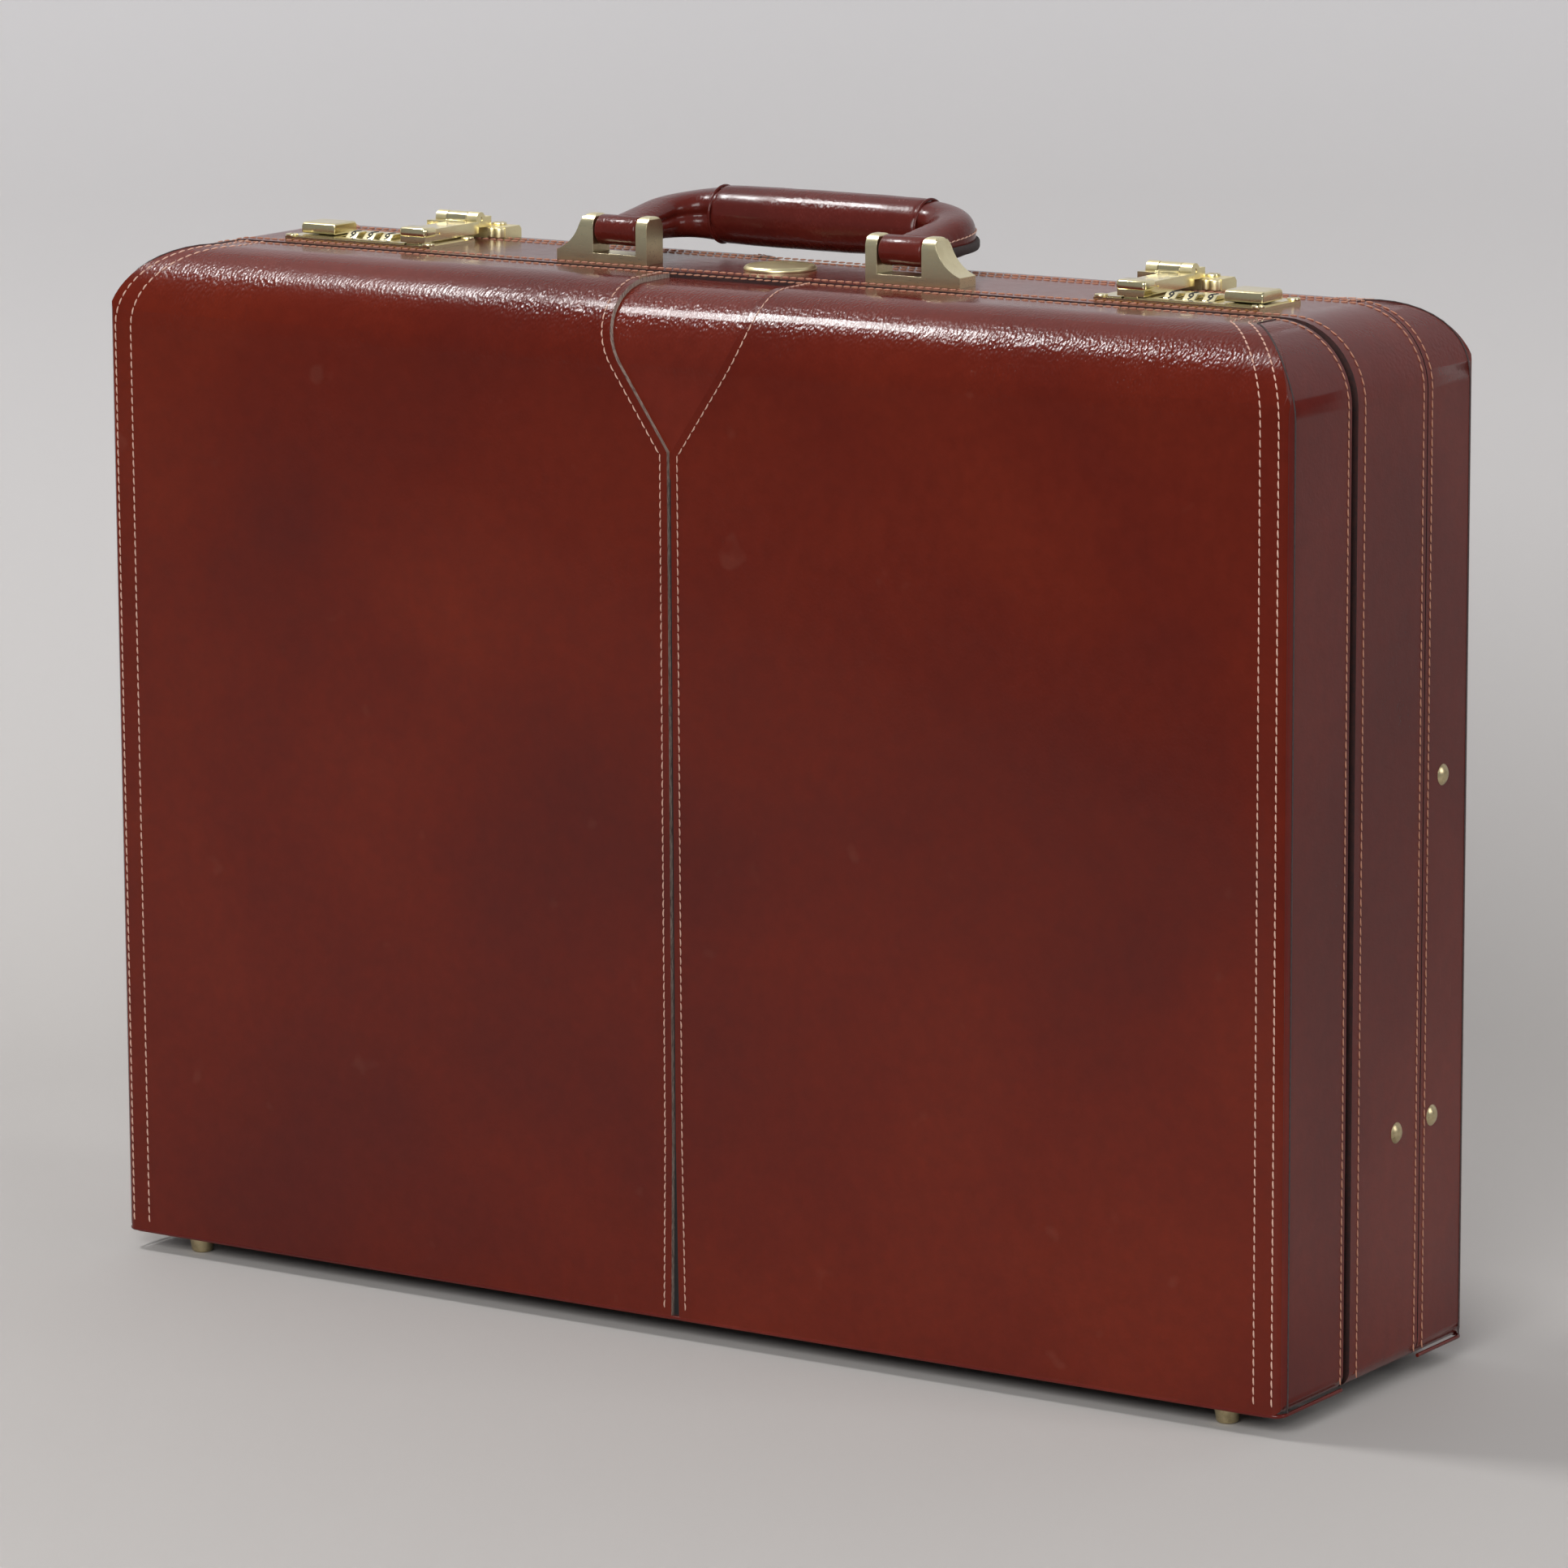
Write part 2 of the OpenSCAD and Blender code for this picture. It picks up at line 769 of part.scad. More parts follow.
// Arms: a loop round the bar, a straight run and a bend into the grip
module handle_arms() {
    cx = grip_l / 2;
    cy = handle_reach - arm_bend_r;
    dx = handle_pitch / 2 - cx;
    run = sqrt(dx * dx + cy * cy - arm_bend_r * arm_bend_r);
    lean = asin(arm_bend_r / norm([dx, cy])) - atan(dx / cy);
    color(dark_leather) folded() for (s = [-1, 1]) on_side(s) difference() {
        union() {
            rod_x(handle_pitch / 2 - window_w / 2 + 0.4, handle_pitch / 2 + window_w / 2 - 0.4,
                0, 0, loop_d);
            translate([handle_pitch / 2, 0, 0]) rotate([0, 0, -lean]) rotate([-90, 0, 0])
                linear_extrude(run + 2) round_bar_2d(arm_w, arm_t, arm_t / 2 - 0.55);
            translate([cx, cy, 0]) rotate([0, 0, -lean])
                rotate_extrude(angle = 90 + lean)
                    translate([arm_bend_r, 0]) round_bar_2d(bend_w, bend_t, bend_w / 2 - 0.55);
        }
        rod_x(handle_pitch / 2 - window_w, handle_pitch / 2 + window_w, 0, 0, bar_d + 2 * run_gap);
    }
}

module round_bar_2d(w, h, r) {
    for (sx = [-1, 1], sy = [-1, 1])
        translate([sx * (w / 2 - r), sy * (h / 2 - r)]) circle(r);
    square([w - 2 * r, h], center = true);
    square([w, h - 2 * r], center = true);
}

// Padded grip, fuller in the middle
function grip_r(x) = grip_d / 2 - grip_swell * pow(2 * x / grip_l - 1, 2);

module handle_grip() {
    edge = 2.4;
    side = [for (i = [0:12]) let (x = edge + i * (grip_l - 2 * edge) / 12) [grip_r(x), x]];
    color(leather) folded() translate([-grip_l / 2, handle_reach, 0]) rotate([0, 90, 0])
        rotate_extrude() polygon(concat(
            [[0, 0], [grip_r(0) - edge, 0], [grip_r(0) - edge / 3, edge / 3]], side,
            [[grip_r(0) - edge / 3, grip_l - edge / 3], [grip_r(0) - edge, grip_l], [0, grip_l]]));
}

module medallion() {
    r = medallion_d / 2;
    h = medallion_h;
    color(brass) translate([0, (base_front + base_rear) / 2, case_top])
        rotate_extrude() polygon([[0, 0], [r, 0], [r, h * 0.5], [r - 0.7, h],
            [r - 1.8, h], [r - 2.6, h - 0.4], [0, h - 0.2]]);
}

// Piano hinge along the bottom of the opening seam
module hinge_cut() {
    reach = knuckle_d / 2 + 1.2;
    translate([-hinge_l / 2, seam_y - reach, hinge_z - 1])
        cube([hinge_l, 2 * reach, leather_t + 1 + leaf_t]);
    translate([-hinge_l / 2, seam_y - leaf_w, leaf_z]) cube([hinge_l, 2 * leaf_w, leaf_t]);
}

module hinge_leaf(s, first) {
    r = knuckle_d / 2;
    y0 = seam_y + s * leaf_w;
    y1 = seam_y + s * (r + 0.6);
    color(brass) difference() {
        union() {
            translate([-hinge_l / 2, min(y0, y1), leaf_z]) cube([hinge_l, abs(y1 - y0), leaf_t]);
            for (i = [first:2:hinge_knuckles - 1]) {
                x = -hinge_l / 2 + i * knuckle_pitch + 0.15;
                len = knuckle_pitch - 0.3;
                rod_x(x, x + len, seam_y, hinge_z, knuckle_d);
                translate([x, seam_y + (s > 0 ? 0.5 : -r - 0.8), hinge_z + 0.6])
                    cube([len, r + 0.3, leather_t + leaf_t - 0.6]);
            }
        }
        rod_x(-hinge_l, hinge_l, seam_y, hinge_z, knuckle_d / 2 + 2 * run_gap * first);
    }
}

module hinge_leaf_base() {
    hinge_leaf(-1, 0);
}

module hinge_leaf_lid() {
    hinge_leaf(1, 1);
}

module hinge_pin() {
    color(brass) rod_x(-hinge_l / 2, hinge_l / 2, seam_y, hinge_z, knuckle_d / 2);
}

// Rivets that carry the stays, and the two that hold the organizer
module stay_places(p) {
    for (s = [-1, 1]) on_side(s) translate([0, p[0], p[1]]) children();
}

module rivet_dome() {
    ball_r = (rivet_d * rivet_d / 4 + rivet_h * rivet_h) / (2 * rivet_h);
    translate([half_w, 0, 0]) rotate([0, 90, 0]) intersection() {
        translate([0, 0, rivet_h - ball_r]) sphere(ball_r);
        cylinder(d = rivet_d, h = rivet_h + 1);
    }
}

// Shank through the wall, a shoulder out to the link, a pin and its head
module stay_rivet(wall_x, link_x) {
    rod_x(wall_x - 0.5, half_w + eps, 0, 0, stay_pin_d);
    rod_x(link_x, wall_x, 0, 0, shoulder_d);
    rod_x(link_x - link_t - link_gap, link_x + eps, 0, 0, stay_pin_d);
    rod_x(link_x - link_t - link_gap - 1, link_x - link_t - link_gap + eps, 0, 0, 5.6);
    rivet_dome();
}

module base_rivets() {
    color(old_brass) stay_places(anchor_a) stay_rivet(half_w - sleeve_in, link1_out);
}

module lid_rivets() {
    wall_x = half_w - ply_in - lining_t;
    color(old_brass) {
        stay_places(anchor_b) stay_rivet(wall_x, link2_out);
        stay_places(pocket_rivet) {
            rod_x(wall_x - pocket_t - 0.5, half_w + eps, 0, 0, stay_pin_d);
            rod_x(wall_x - pocket_t - 1, wall_x - pocket_t, 0, 0, 6);
            rivet_dome();
        }
    }
}

// A flat link between two eyes in the plane of a side wall
module link_outline(p, q) {
    neck = link_w - 1.6;
    for (c = [p, q]) translate(c) circle(d = link_w);
    translate(p) rotate(atan2(q[1] - p[1], q[0] - p[0]))
        translate([0, -neck / 2]) square([norm(q - p), neck]);
}

module stay_base(s) {
    color(brass) on_side(s) {
        difference() {
            along_x(link1_out - link_t, link1_out) link_outline(anchor_a, elbow);
            rod_x(link1_out - 3, link1_out + 1, anchor_a[0], anchor_a[1], stay_pin_d + 2 * run_gap);
        }
        rod_x(link2_out - link_t - link_gap, link1_out - link_t + eps, elbow[0], elbow[1], stay_pin_d);
        rod_x(link2_out - link_t - link_gap - 1, link2_out - link_t - link_gap + eps,
            elbow[0], elbow[1], 5.6);
    }
}

module stay_lid(s) {
    color(brass) on_side(s) difference() {
        along_x(link2_out - link_t, link2_out) link_outline(anchor_b, elbow);
        rod_x(link2_out - 3, link2_out + 1, anchor_b[0], anchor_b[1], stay_pin_d + 2 * run_gap);
        rod_x(link2_out - 3, link2_out + 1, elbow[0], elbow[1], stay_pin_d + 2 * elbow_clear);
    }
}

// Lid: the same shell turned round, with its own cuts
module lid_turned() {
    mirror([0, 1, 0]) children();
}

module lid_cuts() {
    hinge_cut();
    hasp_screw_shanks();
    for (p = [anchor_b, pocket_rivet])
        stay_places(p) rod_x(half_w - ply_in - 2, half_w + 1, 0, 0, stay_pin_d);
}

module lid_frame() {
    color(plywood) difference() {
        lid_turned() shell_frame(-lid_mouth);
        lid_cuts();
    }
}

module lid_side_leather() {
    color(leather) difference() {
        lid_turned() shell_side_leather(-lid_mouth);
        lid_cuts();
    }
}

module lid_face_left() {
    color(leather) difference() {
        lid_turned() shell_face_half(-1, -lid_mouth);
        hasp_screw_shanks();
    }
}

module lid_face_right() {
    color(leather) difference() {
        lid_turned() shell_face_half(1, -lid_mouth);
        hasp_screw_shanks();
    }
}

module lid_v_panel() {
    color(light_leather) lid_turned() shell_v_panel(-lid_mouth);
}

module lid_seam_strip() {
    color(black) lid_turned() shell_seam_strip(-lid_mouth);
}

module lid_lining() {
    color(cloth) difference() {
        lid_turned() shell_lining(-lid_mouth - 0.3);
        for (p = [anchor_b, pocket_rivet])
            stay_places(p) rod_x(half_w - ply_in - 2, half_w + 1, 0, 0, stay_pin_d);
    }
}

module lid_feet() {
    color(old_brass) lid_turned() shell_feet();
}

// Folder panel inside the lid, with three pockets and a tab at each rivet
module organizer() {
    y1 = case_d / 2 - ply_in - lining_t;
    wall_x = half_w - ply_in - lining_t;
    x1 = wall_x - 16;
    z0 = foot_h + 16;
    z1 = case_top - roll_r - 18;
    color(dark_leather) difference() {
        union() {
            panel_box(-x1, x1, y1 - panel_t, y1, z0, z1);
            panel_box(-x1 + pocket_step, x1 - pocket_step, y1 - 2 * panel_t, y1,
                z0 + pocket_step, z1 - pocket_drop_1);
            panel_box(-x1 + 2 * pocket_step, -pocket_gap, y1 - 3 * panel_t, y1,
                z0 + 2 * pocket_step, z1 - pocket_drop_2);
            panel_box(pocket_gap, x1 - 2 * pocket_step, y1 - 3 * panel_t, y1,
                z0 + 2 * pocket_step, z1 - pocket_drop_3);
            for (s = [-1, 1]) {
                side_box(s, x1 - 5, wall_x, y1 - panel_t, y1,
                    pocket_rivet[1] - tab_h / 2, pocket_rivet[1] + tab_h / 2);
                side_box(s, wall_x - pocket_t, wall_x, pocket_rivet[0] - 5, y1,
                    pocket_rivet[1] - tab_h / 2, pocket_rivet[1] + tab_h / 2);
            }
        }
        stay_places(pocket_rivet) rod_x(wall_x - 2, wall_x + 1, 0, 0, stay_pin_d);
    }
}

module panel_box(x0, x1, y0, y1, z0, z1) {
    translate([x0, y0, z0]) cube([x1 - x0, y1 - y0, z1 - z0]);
}

// Hasps: bracket on the lid, pin, and the lever that lies on the lock plate
module hasp_knuckle(x0, x1) {
    rod_x(x0, x1, pivot_y, pivot_h, barrel_d);
}

module hasp_bracket(s) {
    mid = s * hasp_x;
    bar = mid + barrel_off;
    color(brass) translate([0, 0, case_top]) difference() {
        union() {
            along_x(mid - bracket_l / 2, mid + bracket_l / 2)
                polygon([[lid_mouth, 0], [lid_mouth + bracket_w, -0.6],
                    [lid_mouth + bracket_w, bracket_h - 1.2], [lid_mouth + bracket_w - 1.2, bracket_h],
                    [lid_mouth, bracket_h]]);
            for (e = [[-barrel_l / 2, -knuckle_mid / 2 - knuckle_gap],
                      [knuckle_mid / 2 + knuckle_gap, barrel_l / 2]]) {
                hasp_knuckle(bar + e[0], bar + e[1]);
                translate([bar + e[0], pivot_y, pivot_h - barrel_d / 2])
                    cube([e[1] - e[0], lid_mouth + 3 - pivot_y, barrel_d / 2 + 0.8]);
            }
        }
        rod_x(bar - barrel_l, bar + barrel_l, pivot_y, pivot_h, hasp_pin_d);
        translate([0, 0, -case_top]) hasp_screw_shanks();
        translate([0, 0, -case_top]) mirror([0, 1, 0])
            along_x(mid - bracket_l, mid + bracket_l) side_outline(0);
    }
}

module hasp_pins() {
    color(brass) for (s = [-1, 1]) {
        bar = s * hasp_x + barrel_off;
        rod_x(bar - barrel_l / 2 + 0.2, bar + barrel_l / 2 - 0.2, pivot_y, case_top + pivot_h, hasp_pin_d);
    }
}

module hasp_screw_places() {
    for (s = [-1, 1], u = [-6.6, 6.6])
        translate([s * hasp_x + u, lid_mouth + 6, case_top]) children();
}

module hasp_screw_shanks() {
    hasp_screw_places() translate([0, 0, -5]) cylinder(d = 1.8, h = 5 + bracket_h);
}

module hasp_screws() {
    color(brass) {
        hasp_screw_shanks();
        hasp_screw_places() translate([0, 0, bracket_h]) cylinder(d = 4.4, h = 0.8);
    }
}

module hasp(s) {
    mid = lever_mid(s);
    bar = s * hasp_x + barrel_off;
    rear = pivot_y - barrel_d / 2 - 0.6;
    color(brass) translate([0, 0, case_top]) difference() {
        union() {
            translate([mid - lever_w / 2, lever_front, lever_z0])
                cube([lever_w, rear - lever_front, lever_z1 - lever_z0]);
            translate([mid - lever_w / 2, lever_front, plate_t + 0.2])
                cube([lever_w, 4, pivot_h - plate_t]);
            translate([bar - barrel_l / 2, rear - 4.5, lever_z1 - 2.6])
                cube([mid + lever_w / 2 - bar + barrel_l / 2, 4.5, 2.6]);
            translate([mid - tab_w / 2, lever_front, tab_deep]) cube([tab_w, tab_t, lever_z1 - tab_deep]);
            hasp_knuckle(bar - knuckle_mid / 2, bar + knuckle_mid / 2);
            translate([bar - knuckle_mid / 2, rear - 1, pivot_h - barrel_d / 2])
                cube([knuckle_mid, pivot_y - rear + 1, barrel_d / 2]);
        }
        rod_x(bar - barrel_l, bar + barrel_l, pivot_y, pivot_h, hasp_pin_d + 2 * run_gap);
        translate([mid - lever_w / 2 - 1, lever_front - 1, lever_z0 + 2]) cube([lever_w + 2, 1.4, 0.5]);
        for (u = [-lever_w / 2 - 1, lever_w / 2 - 0.4])
            translate([mid + u, lever_front - 1, lever_z0 + 2]) cube([1.4, 10, 0.5]);
    }
}

front_frame();
front_side_leather();
front_face_left();
front_face_right();
front_v_panel();
front_seam_strip();
front_lining();
front_feet();
expansion_studs();
base_frame();
base_leather();
base_lining();
base_lip();
expansion_sleeve();
lock_plate(-1);  // lock_plate_left
lock_plate(1);  // lock_plate_right
lock_case(-1);  // lock_case_left
lock_case(1);  // lock_case_right
lock_screws();
handle_bracket(-1);  // handle_bracket_left
handle_bracket(1);  // handle_bracket_right
handle_bars();
handle_rivets();
medallion();
hinge_leaf_base();
hinge_pin();
base_rivets();
slider(-1);  // slider_left
slider(1);  // slider_right
dial(-1, 0);  // dial_left_1
dial(-1, 1);  // dial_left_2
dial(-1, 2);  // dial_left_3
dial(1, 0);  // dial_right_1
dial(1, 1);  // dial_right_2
dial(1, 2);  // dial_right_3
handle_grip();
handle_arms();
lid_frame();
lid_side_leather();
lid_face_left();
lid_face_right();
lid_v_panel();
lid_seam_strip();
lid_lining();
lid_feet();
hinge_leaf_lid();
lid_rivets();
hasp_bracket(-1);  // hasp_bracket_left
hasp_bracket(1);  // hasp_bracket_right
hasp_pins();
organizer();
hasp_screws();
hasp(-1);  // hasp_left
hasp(1);  // hasp_right
stay_base(-1);  // stay_base_left
stay_base(1);  // stay_base_right
stay_lid(-1);  // stay_lid_left
stay_lid(1);  // stay_lid_right
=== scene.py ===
import json
import math
import bmesh
import bpy
from mathutils import Matrix, Vector, noise

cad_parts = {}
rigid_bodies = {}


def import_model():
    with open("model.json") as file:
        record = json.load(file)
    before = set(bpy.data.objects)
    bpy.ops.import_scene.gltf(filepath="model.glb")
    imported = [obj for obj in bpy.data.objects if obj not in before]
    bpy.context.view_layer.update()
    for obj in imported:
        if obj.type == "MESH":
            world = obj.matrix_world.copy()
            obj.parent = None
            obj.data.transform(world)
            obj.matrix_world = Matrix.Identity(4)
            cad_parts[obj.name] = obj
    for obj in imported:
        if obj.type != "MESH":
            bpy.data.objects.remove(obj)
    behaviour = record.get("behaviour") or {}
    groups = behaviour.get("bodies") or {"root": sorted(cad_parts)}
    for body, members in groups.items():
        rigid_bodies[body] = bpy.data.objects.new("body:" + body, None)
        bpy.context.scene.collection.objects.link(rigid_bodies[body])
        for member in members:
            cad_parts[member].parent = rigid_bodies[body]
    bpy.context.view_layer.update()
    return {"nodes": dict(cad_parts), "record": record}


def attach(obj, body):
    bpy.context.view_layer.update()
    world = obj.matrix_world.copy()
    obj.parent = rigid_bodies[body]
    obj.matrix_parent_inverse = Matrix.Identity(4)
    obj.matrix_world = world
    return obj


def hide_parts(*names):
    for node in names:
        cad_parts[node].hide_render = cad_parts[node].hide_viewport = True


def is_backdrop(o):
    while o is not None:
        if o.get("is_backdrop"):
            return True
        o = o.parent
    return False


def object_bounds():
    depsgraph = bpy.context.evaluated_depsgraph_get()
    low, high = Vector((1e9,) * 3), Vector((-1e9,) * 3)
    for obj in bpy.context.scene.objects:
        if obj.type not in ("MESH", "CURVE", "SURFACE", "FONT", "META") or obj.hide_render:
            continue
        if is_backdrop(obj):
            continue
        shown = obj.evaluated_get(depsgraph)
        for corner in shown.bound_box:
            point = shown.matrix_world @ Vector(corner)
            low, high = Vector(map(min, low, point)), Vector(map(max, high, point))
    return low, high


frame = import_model()

record = frame["record"]
bodyOf = {n: b for b, names in record["behaviour"]["bodies"].items() for n in names}
slotOf = {s["node"]: s["material_slot"] for s in record["subparts"]}
mm = 0.001

# measures of the case in millimetres, as the frame has them
case = {"halfW": 228.5, "faceY": 60.0, "top": 346.5, "foot": 6.5, "cornerR": 26.0, "rollR": 26.0,
        "frontMouth": -20.5, "lidMouth": 28.6}
case["rollY"] = case["faceY"] - case["rollR"]
case["rollZ"] = case["top"] - case["rollR"]
case["cornerX"] = case["halfW"] - case["cornerR"]
# how far each lock's hasp and first dial are from the middle of the case, the dials' pitch and number
lock = {"hasp": 140.0, "dial": 153.2, "dialPitch": 7.1, "dials": 3}
hands = ((-1, "left"), (1, "right"))
shells = ((-1, "front_shell", "front"), (1, "lid", "lid"))


# small helpers
def choose(*objs):
    if bpy.context.object and bpy.context.object.mode != "OBJECT":
        bpy.ops.object.mode_set(mode="OBJECT")
    bpy.ops.object.select_all(action="DESELECT")
    for o in objs:
        o.select_set(True)
    bpy.context.view_layer.objects.active = objs[-1]


def modify(obj, kind, **values):
    mod = obj.modifiers.new(kind.title(), kind)
    for key, value in values.items():
        setattr(mod, key, value)


def applyAll(obj):
    choose(obj)
    for name in [m.name for m in obj.modifiers]:
        bpy.ops.object.modifier_apply(modifier=name)


def smooth(obj, angle=35):
    choose(obj)
    bpy.ops.object.shade_smooth_by_angle(angle=math.radians(angle))


def settle(obj, body, slotName, *materials):
    # puts the object's transform in its mesh, so that every piece sits at the origin
    choose(obj)
    bpy.ops.object.transform_apply(location=True, rotation=True, scale=True)
    obj.data.materials.clear()
    for m in materials:
        obj.data.materials.append(m)
    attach(obj, body)


def fromPoints(name, points, radius=None, closed=False):
    # a poly curve through points given in millimetres
    data = bpy.data.curves.new(name, "CURVE")
    data.dimensions = "3D"
    line = data.splines.new("POLY")
    line.points.add(len(points) - 1)
    for p, co in zip(line.points, points):
        p.co = (co[0] * mm, co[1] * mm, co[2] * mm, 1)
    line.use_cyclic_u = closed
    if radius:
        data.bevel_depth = radius * mm
        data.bevel_resolution = 3
        data.use_fill_caps = not closed
    obj = bpy.data.objects.new(name, data)
    bpy.context.collection.objects.link(obj)
    return obj


def toMesh(obj):
    choose(obj)
    bpy.ops.object.convert(target="MESH")
    return bpy.context.object


def layStrip(name, points, width, height):
    # a flat strip with rounded edges, swept along points, its height upright
    shape = fromPoints(name + "_shape", [(x * width / 2, y * height / 2, 0) for x, y in (
        (-1, -0.6), (-0.7, -1), (0.7, -1), (1, -0.6), (1, 0.6), (0.7, 1), (-0.7, 1), (-1, 0.6))], closed=True)
    shape.data.dimensions = "2D"
    path = fromPoints(name, points)
    path.data.twist_mode = "Z_UP"
    path.data.bevel_mode = "OBJECT"
    path.data.bevel_object = shape
    path.data.use_fill_caps = True
    strip = toMesh(path)
    bpy.data.objects.remove(shape)
    return strip


def wrap(name, around, along, place):
    # a tube whose vertices are laid by place(turn, run), both from 0 to 1, closed at its ends
    bpy.ops.mesh.primitive_grid_add(x_subdivisions=around, y_subdivisions=along, size=2)
    tube = bpy.context.object
    tube.name = name
    for v in tube.data.vertices:
        v.co = Vector(place((v.co.x + 1) / 2, (v.co.y + 1) / 2)) * mm
    bpy.ops.object.mode_set(mode="EDIT")
    bpy.ops.mesh.select_all(action="SELECT")
    bpy.ops.mesh.remove_doubles(threshold=0.00001)
    bpy.ops.mesh.fill_holes(sides=0)
    bpy.ops.mesh.select_all(action="SELECT")
    bpy.ops.mesh.normals_make_consistent(inside=False)
    bpy.ops.object.mode_set(mode="OBJECT")
    return tube


def copyOf(obj, name):
    twin = obj.copy()
    twin.data = obj.data.copy()
    twin.name = name
    bpy.context.collection.objects.link(twin)
    return twin


def resample(points, step):
    # points at even distances along a line
    out = [Vector(points[0])]
    left = step
    for a, b in zip(points, points[1:]):
        a, b = Vector(a), Vector(b)
        length = (b - a).length
        pos = left
        while pos <= length:
            out.append(a.lerp(b, pos / length))
            pos += step
        left = pos - length
    return out


def between(table, at):
    # straight-line value from rows of (at, value, value)
    for a, b in zip(table, table[1:]):
        if at <= b[0]:
            t = max(0.0, (at - a[0]) / (b[0] - a[0]))
            return [p + (q - p) * t for p, q in zip(a[1:], b[1:])]
    return list(table[-1][1:])


def newGroup(name, inputs, outputs):
    tree = bpy.data.node_groups.new(name, "ShaderNodeTree")
    for label, kind, value in inputs:
        sock = tree.interface.new_socket(label, in_out="INPUT", socket_type=kind)
        if value is not None:
            sock.default_value = value
    for label, kind in outputs:
        tree.interface.new_socket(label, in_out="OUTPUT", socket_type=kind)
    start = tree.nodes.new("NodeGroupInput")
    end = tree.nodes.new("NodeGroupOutput")
    return tree, start, end


def addNode(tree, kind, inputs=None, **settings):
    node = tree.nodes.new(kind)
    for key, value in settings.items():
        setattr(node, key, value)
    for key, value in (inputs or {}).items():
        sock = node.inputs[key]
        if isinstance(value, bpy.types.NodeSocket):
            tree.links.new(value, sock)
        else:
            sock.default_value = value
    return node


def ramp(tree, source, *stops):
    node = addNode(tree, "ShaderNodeValToRGB", {0: source})
    steps = node.color_ramp.elements
    while len(steps) > len(stops):
        steps.remove(steps[-1])
    while len(steps) < len(stops):
        steps.new(1.0)
    for step, (pos, value) in zip(steps, stops):
        step.position = pos
        step.color = (value, value, value, 1) if isinstance(value, (int, float)) else (*value, 1)
    return node.outputs["Color"]


def mixColor(tree, factor, a, b, blend="MIX"):
    node = addNode(tree, "ShaderNodeMix", {0: factor, 6: a, 7: b}, data_type="RGBA", blend_type=blend)
    return node.outputs[2]


def maths(tree, operation, a, b=0.0, c=0.0):
    return addNode(tree, "ShaderNodeMath", {0: a, 1: b, 2: c}, operation=operation).outputs[0]


